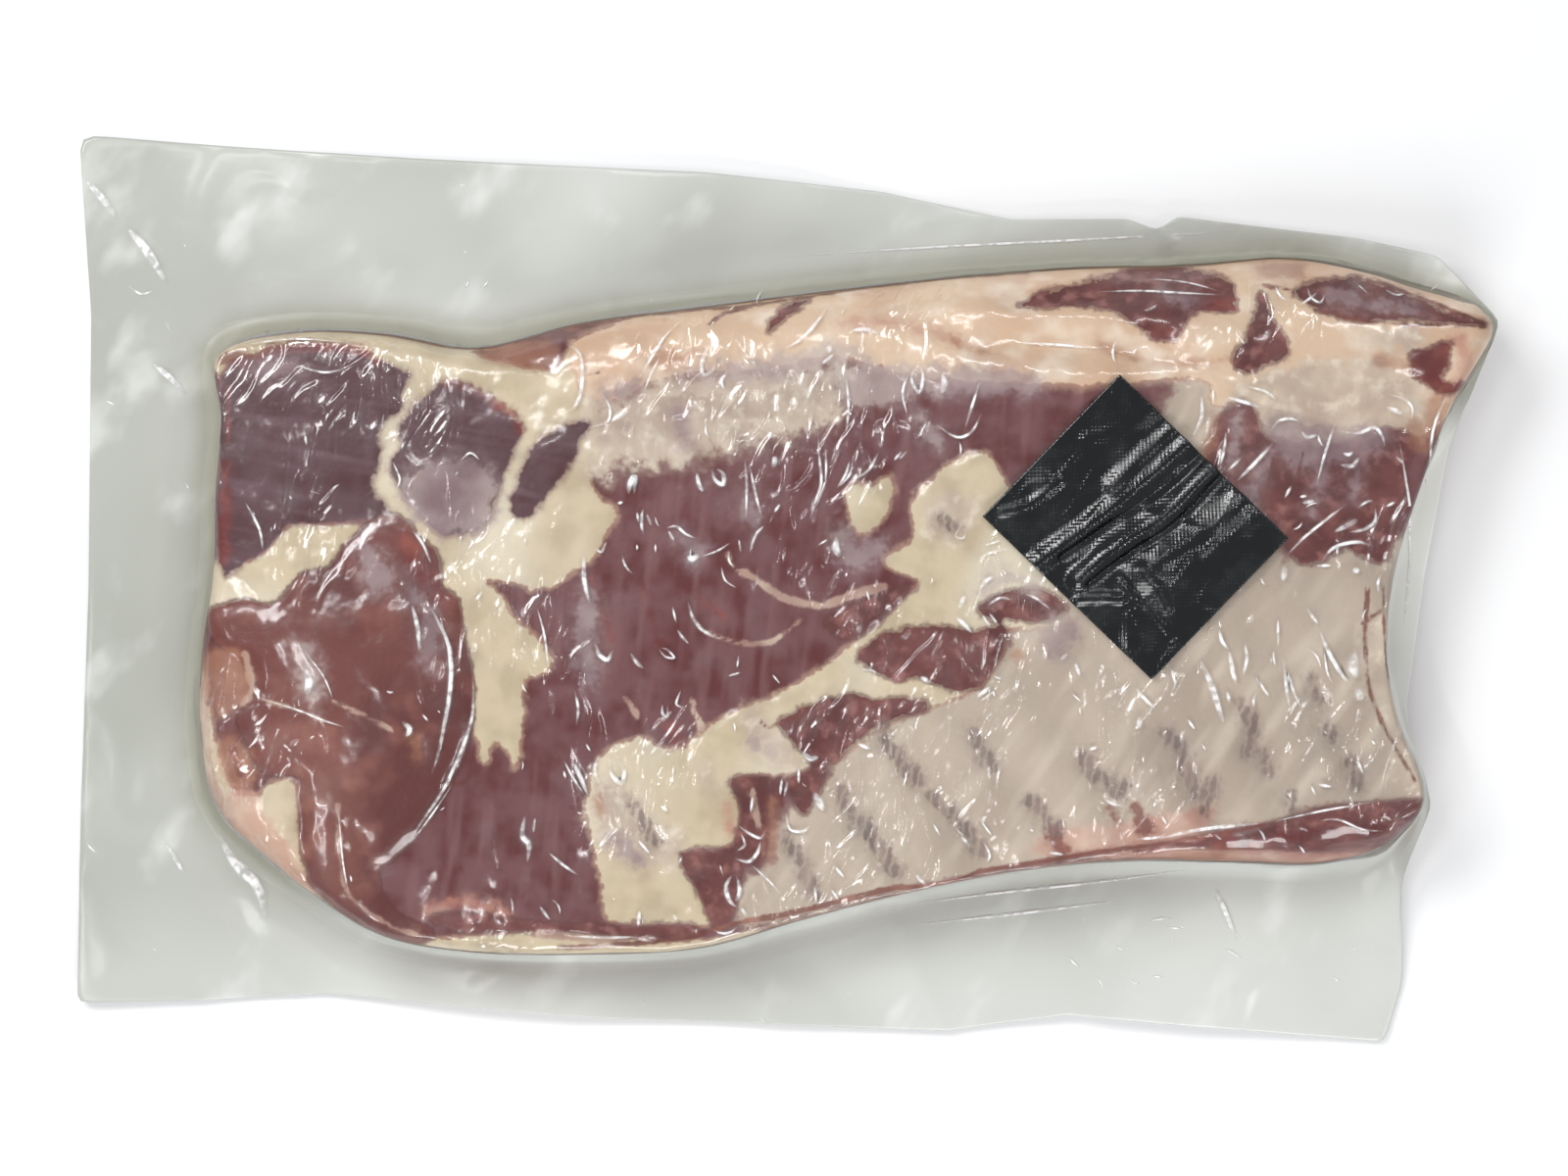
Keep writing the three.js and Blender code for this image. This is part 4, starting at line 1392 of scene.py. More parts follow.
@dataclass
class PouchCage:
    """The pouch's fixed solid, merged into quads, with what is known of each of its points."""

    name: str
    node: bpy.types.Object
    cut_sharpness: float = 0.35
    cut_slope: float = 0.3
    piece: bpy.types.Object = field(init=False)
    doubled: np.ndarray = field(init=False)

    def __post_init__(self) -> None:
        """Copies the solid, joins its loose triangles and finds its loose margins."""
        self.piece = bpy.data.objects.new(self.name, self.node.data.copy())
        bpy.context.scene.collection.objects.link(self.piece)
        self.piece.data.materials.clear()
        only(self.piece)
        bpy.ops.object.mode_set(mode="EDIT")
        bpy.ops.mesh.select_all(action="SELECT")
        bpy.ops.mesh.customdata_custom_splitnormals_clear()
        bpy.ops.mesh.remove_doubles(threshold=MERGE)
        bpy.ops.mesh.tris_convert_to_quads(face_threshold=math.pi, shape_threshold=math.pi)
        bpy.ops.object.mode_set(mode="OBJECT")
        self.doubled = self.find_doubled()
        store(self.piece.data, "loose", self.reach_from_foot())

    def find_doubled(self) -> np.ndarray:
        """Which points have a twin straight above or below them, across the film's margin."""
        places = places_of(self.piece.data)
        order = np.lexsort((places[:, 2], np.round(places[:, 1], 6), np.round(places[:, 0], 6)))
        ordered = places[order]
        step = ordered[1:] - ordered[:-1]
        twin = (np.abs(step[:, :2]).max(1) < MERGE) & (np.abs(step[:, 2] - SHEET_THICKNESS) < MERGE)
        doubled = np.zeros(len(places), bool)
        doubled[order[1:][twin]] = True
        doubled[order[:-1][twin]] = True
        return doubled

    def reach_from_foot(self) -> np.ndarray:
        """How far each point of the margin lies from the foot of the meat, in millimetres."""
        mesh = self.piece.data
        places = places_of(mesh)
        edges = np.empty(len(mesh.edges) * 2, int)
        mesh.edges.foreach_get("vertices", edges)
        ends = edges.reshape(-1, 2)
        mixed = ends[self.doubled[ends[:, 0]] != self.doubled[ends[:, 1]]].ravel()
        foot = places[np.unique(mixed[self.doubled[mixed]])][:, :2]
        reach = np.zeros(len(places))
        for point in np.flatnonzero(self.doubled):
            reach[point] = np.hypot(*(foot - places[point, :2]).T).min() / MM
        return reach

    def margin_faces(self) -> np.ndarray:
        """Which faces belong to the loose margins."""
        faces = self.piece.data.polygons
        return np.array([self.doubled[list(face.vertices)].all() for face in faces])

    def sharpen_cut_edge(self) -> None:
        """Keeps the film's cut edge sharp when the mesh is rounded."""
        upright = np.abs(face_normals(self.piece.data)[:, 2]) < self.cut_slope
        select_faces(self.piece, self.margin_faces() & upright)
        bpy.ops.mesh.select_mode(type="EDGE")
        bpy.ops.transform.edge_crease(value=self.cut_sharpness)
        bpy.ops.object.mode_set(mode="OBJECT")

    def drop_margins(self) -> None:
        """Takes the loose margins off, and closes the meat at its foot."""
        select_faces(self.piece, self.margin_faces())
        bpy.ops.mesh.delete(type="FACE")
        bpy.ops.mesh.select_mode(type="EDGE")
        bpy.ops.mesh.select_non_manifold(
            extend=False, use_wire=False, use_boundary=True, use_multi_face=False,
            use_non_contiguous=False, use_verts=False,
        )
        bpy.ops.transform.edge_crease(value=1)
        bpy.ops.mesh.bridge_edge_loops()
        bpy.ops.mesh.select_all(action="SELECT")
        bpy.ops.mesh.normals_make_consistent(inside=False)
        bpy.ops.object.mode_set(mode="OBJECT")


@dataclass(frozen=True)
class WrinkleSet:
    """Soft wrinkles raised in a mesh, in millimetres, turned about Z."""

    across: float
    along: float
    turn: float
    height: float
    seed: int


CLINGING_WRINKLES = (
    WrinkleSet(15, 44, 0.08, 0.7, 11),
    WrinkleSet(13, 30, -0.5, 0.45, 12),
    WrinkleSet(8, 18, 0.5, 0.2, 13),
)


def wrinkle_height(places: np.ndarray, wrinkles: Sequence[WrinkleSet]) -> np.ndarray:
    """How far wrinkles lift each place, in metres."""
    total = np.zeros(len(places))
    for fold in wrinkles:
        size = (fold.across, fold.along)
        total += fold.height * creased_noise(places / MM, size, fold.turn, fold.seed)
    return total * MM


# How each tissue stands out, in millimetres: its height, and the depths between which it rises.
TISSUE_RELIEF: tuple[tuple[Tissue, float, float, float], ...] = (
    (Tissue.FAT, 0.7, -1.5, 3.0),
    (Tissue.PEACH_FAT, 0.7, -1.5, 3.0),
    (Tissue.AMBER, -0.6, -2.5, 2.5),
    (Tissue.LOBE, 1.6, -1.0, 6.0),
    (Tissue.DARK, -0.6, -1.5, 2.0),
    (Tissue.GAP, -0.9, -5.0, 2.0),
    (Tissue.BLUISH, 0.5, -1.0, 4.0),
    (Tissue.VEIN, 0.3, -1.0, 1.5),
)
# The flesh's lumps, in millimetres: how wide and how high they are, and which noise they follow.
LUMP_SIZES = ((17, 0.9, 2), (9, 0.5, 3), (4.5, 0.16, 4))


def flesh_relief(places: np.ndarray) -> np.ndarray:
    """How far the flesh stands out or sinks.

    Args:
        places: Rows of X, Y and Z in metres.

    Returns:
        One height for each place, in metres.
    """
    pixels = VIEW.pixels(places)
    rise = np.zeros(len(places))
    for size, height, seed in LUMP_SIZES:
        rise += height * (cloud_noise(places / MM, (size, size), seed) - 0.5)
    for tissue, height, low, high in TISSUE_RELIEF:
        rise += height * soft_step(low, high, depth_in(tissue, pixels))
    return rise * MM


# ---- the meat -----------------------------------------------------------------------------------


@dataclass
class MeatSlab:
    """The slab of pork inside the film: its relief, and where each tissue lies on it."""

    node: bpy.types.Object
    under_film: float = 0.8 * MM
    under_at_table: float = 0.1 * MM
    under_by_height: float = 0.3
    seen_slope: float = 0.12
    side_facing: Span = (0.05, 0.3)
    fine_cuts: int = 2
    deepest: float = 12.0
    piece: bpy.types.Object = field(init=False)

    def build(self) -> bpy.types.Object:
        """The finished mesh, which carries the depth in each tissue."""
        cage = PouchCage("meat", self.node)
        cage.drop_margins()
        self.piece = cage.piece
        subdivided(self.piece, 1)
        select_faces(self.piece, face_normals(self.piece.data)[:, 2] > self.seen_slope)
        bpy.ops.mesh.subdivide(number_cuts=self.fine_cuts, smoothness=1)
        bpy.ops.mesh.select_mode(type="VERT")
        bpy.ops.mesh.vertices_smooth(factor=0.5, repeat=1)
        bpy.ops.object.mode_set(mode="OBJECT")
        self.shape()
        smooth_shaded(self.piece)
        return self.piece

    def shape(self) -> None:
        """Draws the meat in under the film, stores the tissues and adds their relief."""
        mesh = self.piece.data
        places = places_of(mesh)
        normals = normals_of(mesh)
        pixels = VIEW.pixels(places)
        for tissue in Tissue:
            depth = np.clip(depth_in(tissue, pixels), -self.deepest, self.deepest)
            store(mesh, tissue.value, depth)
        facing_up = normals[:, 2]
        store(mesh, "steep", 1 - soft_step(*self.side_facing, facing_up))
        rise = flesh_relief(places) * soft_step(*RELIEF_FACING, facing_up)
        above_table = np.maximum(places[:, 2], 0)
        least = self.under_by_height * above_table + self.under_at_table
        inward = np.minimum(self.under_film, least)
        move_to(mesh, places + normals * (rise - inward)[:, None])

    def dress(self, shared: SharedEffects) -> None:
        """Gives the meat its finish and its place in the record."""
        self.piece.data.materials.append(MeatFinish().make(shared))
        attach(self.piece, "root")


# ---- the film -----------------------------------------------------------------------------------


@dataclass
class VacuumFilm:
    """The clear pouch, drawn down over the meat, with its loose wavy margins.

    How far it lies loose is measured from the meat's foot, in millimetres. Where the far side, the
    thin end and the strip along the cut ribs fade in is given in photo pixels.
    """

    node: bpy.types.Object
    rounding: int = 2
    loose: tuple[WrinkleSet, ...] = (
        WrinkleSet(60, 90, 0.5, 0.9, 21),
        WrinkleSet(34, 60, -0.9, 0.5, 22),
    )
    slack: Span = (3, 22)
    lets_go: Span = (0, 3)
    drawn_in: float = 4 * MM
    drawn_reach: Span = (0, 8)
    far_side: Span = (380, 520)
    thin_end: Span = (260, 360)
    strip_left: Span = (1385, 1425)
    strip_top: Span = (400, 470)
    strip_bottom: Span = (760, 830)
    foot_height: float = 7 * MM
    foot_fade: Span = (7 * MM, 9.5 * MM)
    foot_facing: Span = (-0.2, 0)
    foot_slope: float = 0.05
    piece: bpy.types.Object = field(init=False)

    def build(self) -> bpy.types.Object:
        """The finished mesh, which carries how far it lies from the meat."""
        cage = PouchCage("film", self.node)
        cage.sharpen_cut_edge()
        self.piece = cage.piece
        subdivided(self.piece, self.rounding)
        mesh = self.piece.data
        places = places_of(mesh)
        normals = normals_of(mesh)
        reach = stored(mesh, "loose")
        clings = (1 - soft_step(*self.lets_go, reach)) * soft_step(*RELIEF_FACING, normals[:, 2])
        drawn = wrinkle_height(places, CLINGING_WRINKLES) + flesh_relief(places)
        move = normals * (drawn * clings)[:, None]
        move[:, 2] += wrinkle_height(places, self.loose) * soft_step(*self.slack, reach)
        rib_strip = self.rib_strip(places)
        move[:, 0] -= self.drawn_in * rib_strip * soft_step(*self.drawn_reach, reach)
        move_to(mesh, places + move)
        x, y = VIEW.pixels(places).T
        far_or_thin = 1 - np.minimum(soft_step(*self.far_side, y), soft_step(*self.thin_end, x))
        store(mesh, "single", rib_strip)
        store(mesh, "shaded", far_or_thin * (1 - rib_strip))
        low = 1 - soft_step(*self.foot_fade, places[:, 2])
        store(mesh, "foot", low * soft_step(*self.foot_facing, normals[:, 2]))
        smooth_shaded(self.piece)
        return self.piece

    def rib_strip(self, places: np.ndarray) -> np.ndarray:
        """Where the film is a narrow single strip along the cut ribs, from 0 to 1."""
        x, y = VIEW.pixels(places).T
        rows = soft_step(*self.strip_top, y) * (1 - soft_step(*self.strip_bottom, y))
        return soft_step(*self.strip_left, x) * rows

    def dress(self, shared: SharedEffects) -> None:
        """Gives the film its finish and lets it stand for the pouch's solid."""
        mesh = self.piece.data
        for finish in (ClingFinish(), LooseFinish()):
            mesh.materials.append(finish.make(shared))
        loose = stored(mesh, "loose")
        height = places_of(mesh)[:, 2]
        for face in mesh.polygons:
            corners = list(face.vertices)
            low = height[corners].max() < self.foot_height
            at_foot = low and face.normal.z > self.foot_slope
            face.material_index = int(at_foot or loose[corners].max() > 0)
        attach(self.piece, "root")
        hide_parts("pouch")
        self.piece.visible_diffuse = False


class Ground:
    """A surface seen from above, which tells how high it lies and how it faces."""

    def __init__(self, piece: bpy.types.Object) -> None:
        """Takes the surface of a piece."""
        mesh = piece.data
        corners = [vertex.co for vertex in mesh.vertices]
        self.tree = BVHTree.FromPolygons(corners, [tuple(face.vertices) for face in mesh.polygons])

    def hit(self, x: float, y: float) -> tuple[Vector, Vector] | None:
        """The highest place over X and Y and its normal, or nothing beside the surface."""
        place, normal, _face, _gap = self.tree.ray_cast(Vector((x, y, 1)), Vector((0, 0, -1)))
        return None if place is None else (place, normal)

    def seen_at(self, pixel: Point) -> tuple[Vector, Vector] | None:
        """What shows at a pixel of the photo."""
        found = self.hit(*VIEW.place(pixel, TOP_HEIGHT))
        if found:
            found = self.hit(*VIEW.place(pixel, found[0].z))
        return found


# Creases that stand out in the photo, their white cores partly painted glints: width and line, in
# photo pixels.
LONG_CREASES: tuple[tuple[float, Outline], ...] = (
    # the thin end and the lobe
    (3, ((250, 512), (265, 540), (268, 562))),
    (2.4, ((300, 372), (330, 380), (352, 376))),
    (4, ((578, 352), (592, 362), (594, 390), (588, 413), (575, 422))),
    (3, ((613, 400), (622, 415), (620, 430), (602, 436))),
    (2.4, ((470, 470), (480, 462), (490, 470))),
    (2.4, ((400, 470), (408, 488), (404, 500))),
    (3, ((420, 540), (432, 556), (440, 576))),
    (5, ((433, 608), (448, 636), (458, 660), (460, 690), (457, 720), (447, 770), (440, 790))),
    (4, ((482, 690), (483, 715), (478, 745), (455, 800), (432, 836), (408, 871))),
    (2.4, ((462, 800), (440, 832), (418, 862))),
    (9, ((312, 682), (316, 696), (312, 710))),
    (2, ((310, 664), (330, 690), (340, 714))),
    (6, ((410, 736), (418, 744), (414, 752))),
    (5, ((420, 616), (426, 640), (428, 664))),
    (2.4, ((262, 711), (305, 725), (330, 735), (352, 742))),
    (2, ((345, 822), (350, 880), (356, 912))),
    # the lower muscle
    (6, ((536, 832), (533, 852), (540, 862), (538, 880))),
    (3, ((546, 834), (544, 850))),
    (3, ((560, 870), (574, 882), (590, 893))),
    (2.4, ((575, 775), (584, 792), (597, 812))),
    (5, ((584, 776), (592, 792), (600, 812))),
    (4, ((612, 770), (607, 785), (612, 800))),
    (5, ((622, 774), (624, 790), (634, 799), (637, 786), (630, 776))),
    (3, ((586, 704), (590, 722), (588, 740))),
    (5, ((607, 655), (611, 667), (620, 673), (626, 662))),
    (4, ((643, 666), (650, 676), (657, 682))),
    (2.4, ((672, 662), (679, 670), (688, 671), (681, 663), (674, 661))),
    (3.4, ((676, 718), (676, 728), (681, 731), (681, 720))),
    (3, ((691, 642), (696, 650), (703, 657))),
    (2.4, ((686, 618), (690, 636))),
    (4, ((702, 614), (708, 632), (720, 645), (736, 652))),
    (5, ((596, 566), (596, 590), (602, 618))),
    (3, ((608, 560), (614, 563), (619, 552))),
    (2.4, ((695, 704), (690, 718), (697, 722))),
    (2.4, ((548, 620), (556, 650), (560, 690))),
    (2, ((742, 690), (756, 686))),
    (2, ((754, 668), (752, 682))),
    (2, ((788, 688), (796, 698))),
    # the upper muscle
    (7, ((641, 504), (643, 494), (648, 486), (647, 504))),
    (3, ((636, 512), (630, 514))),
    (3, ((650, 522), (652, 534))),
    (3, ((660, 524), (665, 537))),
    (5, ((711, 482), (713, 494), (718, 502))),
    (5, ((726, 478), (730, 490), (738, 494), (738, 484), (731, 478))),
    (3, ((760, 468), (762, 498), (761, 530))),
    (3, ((765, 474), (771, 504), (778, 530))),
    (3, ((780, 536), (771, 546), (765, 562))),
    (2.4, ((754, 550), (756, 564))),
    (3, ((680, 539), (690, 537), (700, 545), (710, 549))),
    (3, ((682, 541), (688, 552))),
    (7, ((702, 566), (706, 570), (714, 566))),
    (2, ((716, 568), (732, 562), (745, 554))),
    (2.4, ((744, 562), (744, 572), (750, 580))),
    (2, ((736, 578), (740, 592), (752, 600))),
    (6, ((788, 478), (791, 470), (788, 466))),
    (3, ((835, 440), (836, 466), (838, 492), (832, 512), (826, 532))),
    (2.4, ((842, 456), (843, 476), (842, 496))),
    (3, ((867, 470), (863, 484), (854, 498))),
    (2.4, ((870, 474), (866, 486), (856, 497))),
    (3, ((897, 460), (886, 480), (868, 491))),
    (3, ((921, 460), (912, 470))),
    (2.4, ((926, 460), (917, 469))),
    (3, ((796, 514), (790, 523))),
    (8, ((854, 549), (853, 560), (857, 568))),
    (2, ((834, 557), (845, 550))),
    (2.4, ((980, 538), (975, 547), (983, 549), (986, 541))),
    (3, ((863, 384), (866, 414), (863, 446))),
    (3, ((928, 380), (921, 400), (926, 424))),
    (4, ((936, 372), (930, 386), (938, 400), (942, 382), (937, 372))),
    (7, ((962, 380), (964, 392), (960, 402))),
    (3, ((1000, 388), (992, 414), (985, 436))),
    (3, ((1002, 420), (992, 440), (976, 446), (955, 433))),
    (2, ((946, 430), (936, 448))),
    # the far side
    (4, ((742, 343), (724, 354), (716, 370), (718, 382), (727, 378), (730, 368))),
    (3, ((697, 325), (678, 344), (664, 366), (652, 386))),
    (2.4, ((674, 364), (664, 382), (657, 400))),
    (4, ((845, 312), (833, 330), (818, 346), (800, 356))),
    (5, ((868, 338), (882, 336), (898, 341))),
    (3, ((852, 360), (838, 372))),
    (7, ((842, 358), (850, 354))),
    (3, ((1120, 298), (1160, 297), (1204, 299), (1248, 301))),
    (2, ((1168, 284), (1210, 288), (1244, 297))),
    (3, ((1334, 293), (1338, 304), (1347, 309), (1352, 300))),
    (3, ((1300, 288), (1306, 302), (1316, 308))),
    (3, ((1414, 296), (1424, 301), (1434, 300))),
    (2.4, ((1385, 290), (1396, 300))),
    (2.4, ((1262, 340), (1270, 352))),
    (3, ((1040, 350), (1080, 352), (1124, 356))),
    # the rib end
    (4, ((1226, 402), (1226, 425), (1217, 446))),
    (2.4, ((1238, 395), (1238, 413))),
    (4, ((1250, 405), (1270, 410), (1287, 416))),
    (3, ((1270, 394), (1290, 399), (1303, 408))),
    (3, ((1296, 441), (1304, 430), (1317, 427), (1327, 431))),
    (4, ((1328, 440), (1334, 446), (1346, 443))),
    (3, ((1363, 430), (1356, 450), (1350, 470), (1343, 497))),
    (4, ((1367, 440), (1386, 442), (1402, 436), (1410, 444), (1413, 456))),
    (5, ((1367, 474), (1380, 475), (1387, 466))),
    (4, ((1370, 462), (1376, 464), (1381, 460))),
    (3, ((1424, 465), (1432, 473))),
    (3, ((1414, 402), (1432, 407), (1441, 416), (1440, 428))),
    (5, ((1414, 415), (1424, 419), (1432, 423))),
    (3, ((1244, 478), (1249, 460), (1251, 440))),
    (3, ((1253, 480), (1268, 466))),
    (4, ((1262, 491), (1282, 471), (1300, 451))),
    (3, ((1313, 567), (1330, 549), (1356, 528), (1376, 513))),
    (3, ((1385, 519), (1394, 512), (1402, 511))),
    (6, ((1361, 543), (1378, 534), (1386, 530))),
    (4, ((1403, 518), (1403, 532), (1392, 540), (1376, 543))),
    (4, ((1348, 574), (1361, 559), (1384, 553), (1400, 557))),
    (3, ((1342, 577), (1360, 577))),
    (6, ((1379, 581), (1388, 583))),
    (7, ((1311, 576), (1309, 594))),
    (4, ((1328, 513), (1342, 511))),
    (3, ((1326, 507), (1334, 506))),
    (3, ((1414, 517), (1424, 512))),
    (3, ((1408, 556), (1413, 546))),
    # over the ribs
    (4, ((1159, 702), (1168, 713), (1180, 724))),
    (6, ((1163, 730), (1162, 744))),
    (3, ((1211, 733), (1220, 745))),
    (7, ((1224, 672), (1235, 696), (1243, 722), (1249, 738))),
    (4, ((1244, 641), (1247, 654), (1255, 664))),
    (5, ((1254, 662), (1258, 684), (1262, 700))),
    (4, ((1252, 704), (1255, 718))),
    (4, ((1270, 656), (1272, 672), (1268, 690))),
    (3, ((1280, 686), (1290, 704), (1296, 711))),
    (4, ((1310, 674), (1312, 700), (1316, 722))),
    (3, ((1314, 684), (1320, 706), (1328, 722))),
    (4, ((1333, 620), (1340, 630), (1345, 637))),
    (5, ((1346, 641), (1354, 662), (1366, 684), (1380, 702))),
    (2.4, ((1351, 660), (1354, 684), (1360, 698))),
    (2.4, ((1335, 662), (1344, 670), (1348, 682))),
    (11, ((1382, 662), (1380, 680), (1385, 692))),
    (10, ((1384, 702), (1388, 716))),
    (3, ((1304, 630), (1304, 660))),
    (3, ((1344, 800), (1360, 803))),
    (3, ((1124, 812), (1134, 820), (1146, 822))),
    (3, ((1158, 856), (1175, 855), (1188, 853))),
    (3, ((1069, 870), (1086, 872))),
    (2.4, ((1185, 832), (1191, 842))),
    (4, ((1082, 674), (1090, 666))),
    (4, ((1097, 676), (1102, 690))),
    (3, ((1111, 765), (1120, 762))),
    (2.4, ((952, 840), (960, 854))),
    (4, ((980, 852), (990, 865))),
    (2.4, ((1000, 836), (1013, 854))),
    (3, ((1003, 858), (1010, 872), (1007, 880))),
    (4, ((934, 892), (946, 904))),
    (3, ((852, 884), (862, 896))),
    (3, ((848, 907), (856, 919))),
    (3, ((831, 902), (833, 922))),
    (4, ((874, 758), (890, 765))),
    (5, ((975, 630), (983, 636), (992, 646))),
    (5, ((985, 606), (978, 622))),
    (3, ((1002, 627), (1011, 641))),
    (3, ((1009, 625), (1018, 637))),
    (4, ((999, 602), (1007, 592), (1016, 588))),
    (3, ((1008, 618), (1020, 610), (1032, 612))),
    (3, ((1046, 606), (1058, 611), (1072, 622))),
    (5, ((938, 690), (950, 697))),
    (4, ((996, 712), (1012, 700))),
    (2.4, ((1000, 716), (1016, 704))),
    (2.4, ((998, 570), (1014, 563), (1030, 560))),
    (2, ((1004, 557), (1022, 551))),
    # between the ribs and the foot
    (6, ((818, 766), (826, 774), (836, 772))),
    (8, ((830, 808), (836, 818), (841, 828))),
    (3, ((802, 828), (806, 846), (820, 848), (826, 842))),
    (3, ((798, 794), (796, 812))),
    (3, ((804, 796), (800, 814))),
    (3, ((815, 782), (815, 800))),
    (3, ((768, 812), (766, 830))),
    (3, ((753, 842), (764, 850), (776, 855), (782, 846))),
    (3, ((756, 850), (760, 862), (752, 868))),
    (4, ((776, 858), (773, 870), (764, 879), (750, 876))),
    (5, ((747, 893), (741, 904), (744, 918), (752, 926))),
    (5, ((753, 896), (755, 910), (750, 920))),
    (4, ((756, 926), (763, 936))),
    (2.4, ((766, 882), (784, 898), (800, 916))),
    (3, ((650, 856), (664, 872))),
    (4, ((674, 822), (682, 828))),
    (4, ((653, 928), (651, 946))),
    (4, ((686, 934), (692, 938))),
    # the near edge and the loose margins
    (4, ((1178, 857), (1215, 848), (1252, 843), (1290, 840))),
    (2.4, ((1300, 838), (1350, 827), (1404, 818))),
    (2.4, ((1345, 838), (1365, 836), (1390, 846), (1412, 848))),
    (3, ((580, 955), (618, 957), (650, 956))),
    (2.4, ((248, 352), (300, 346), (360, 350))),
    (8, ((87, 183), (104, 202), (120, 224))),
    (10, ((130, 232), (150, 256), (172, 292))),
    (7, ((155, 370), (172, 384), (190, 402))),
    (12, ((222, 850), (240, 880), (264, 906), (271, 940))),
    (5, ((165, 856), (178, 874), (190, 896))),
    (3, ((905, 926), (1010, 912), (1120, 900), (1225, 886))),
    (3, ((930, 944), (1040, 932), (1150, 918))),
    (6, ((1240, 906), (1250, 930), (1262, 960))),
    (3, ((1428, 450), (1440, 540), (1432, 640))),
    (3, ((1450, 470), (1446, 560), (1452, 680))),
    (3, ((1478, 400), (1462, 440), (1456, 500))),
    (3, ((800, 262), (960, 252), (1120, 244), (1260, 236))),
    (3, ((1178, 238), (1190, 226), (1216, 228))),
    (3, ((130, 290), (144, 300), (158, 296))),
)


@dataclass(frozen=True)
class CreaseField:
    """A stretch of the pack where short creases are scattered at random.

    The corners and the lengths are photo pixels, and the lean is counted from upright.
    """

    left: float
    top: float
    right: float
    bottom: float
    count: int
    lean: float
    spread: float
    lengths: Span = (6, 26)
    widths: Span = (1.4, 3.0)


CREASE_FIELDS: tuple[CreaseField, ...] = (
    CreaseField(240, 360, 600, 600, 6, 0.2, 0.6),
    CreaseField(230, 600, 480, 950, 8, 0.1, 0.9, (5, 20)),
    CreaseField(480, 560, 760, 950, 16, 0.15, 0.4),
    CreaseField(620, 360, 1000, 620, 9, 0.02, 0.3, (8, 34)),
    CreaseField(760, 600, 1100, 720, 5, 0.3, 0.6),
    CreaseField(800, 720, 1440, 880, 16, 0.45, 0.3, (6, 22)),
    CreaseField(1180, 560, 1440, 740, 9, 0.35, 0.3, (8, 30)),
    CreaseField(1240, 420, 1440, 560, 4, -0.3, 0.6),
    CreaseField(600, 290, 1500, 380, 10, -0.6, 0.5, (8, 30)),
    CreaseField(90, 150, 210, 1010, 7, 0.6, 0.5, (6, 24), (1.2, 2.6)),
    CreaseField(210, 160, 1180, 330, 6, -0.9, 0.6, (6, 24), (1.2, 2.4)),
    CreaseField(210, 930, 1420, 1050, 10, 1.1, 0.5, (8, 30), (1.2, 2.4)),
    CreaseField(1080, 930, 1330, 1020, 9, 1.0, 0.6, (8, 26), (1.2, 2.4)),
)


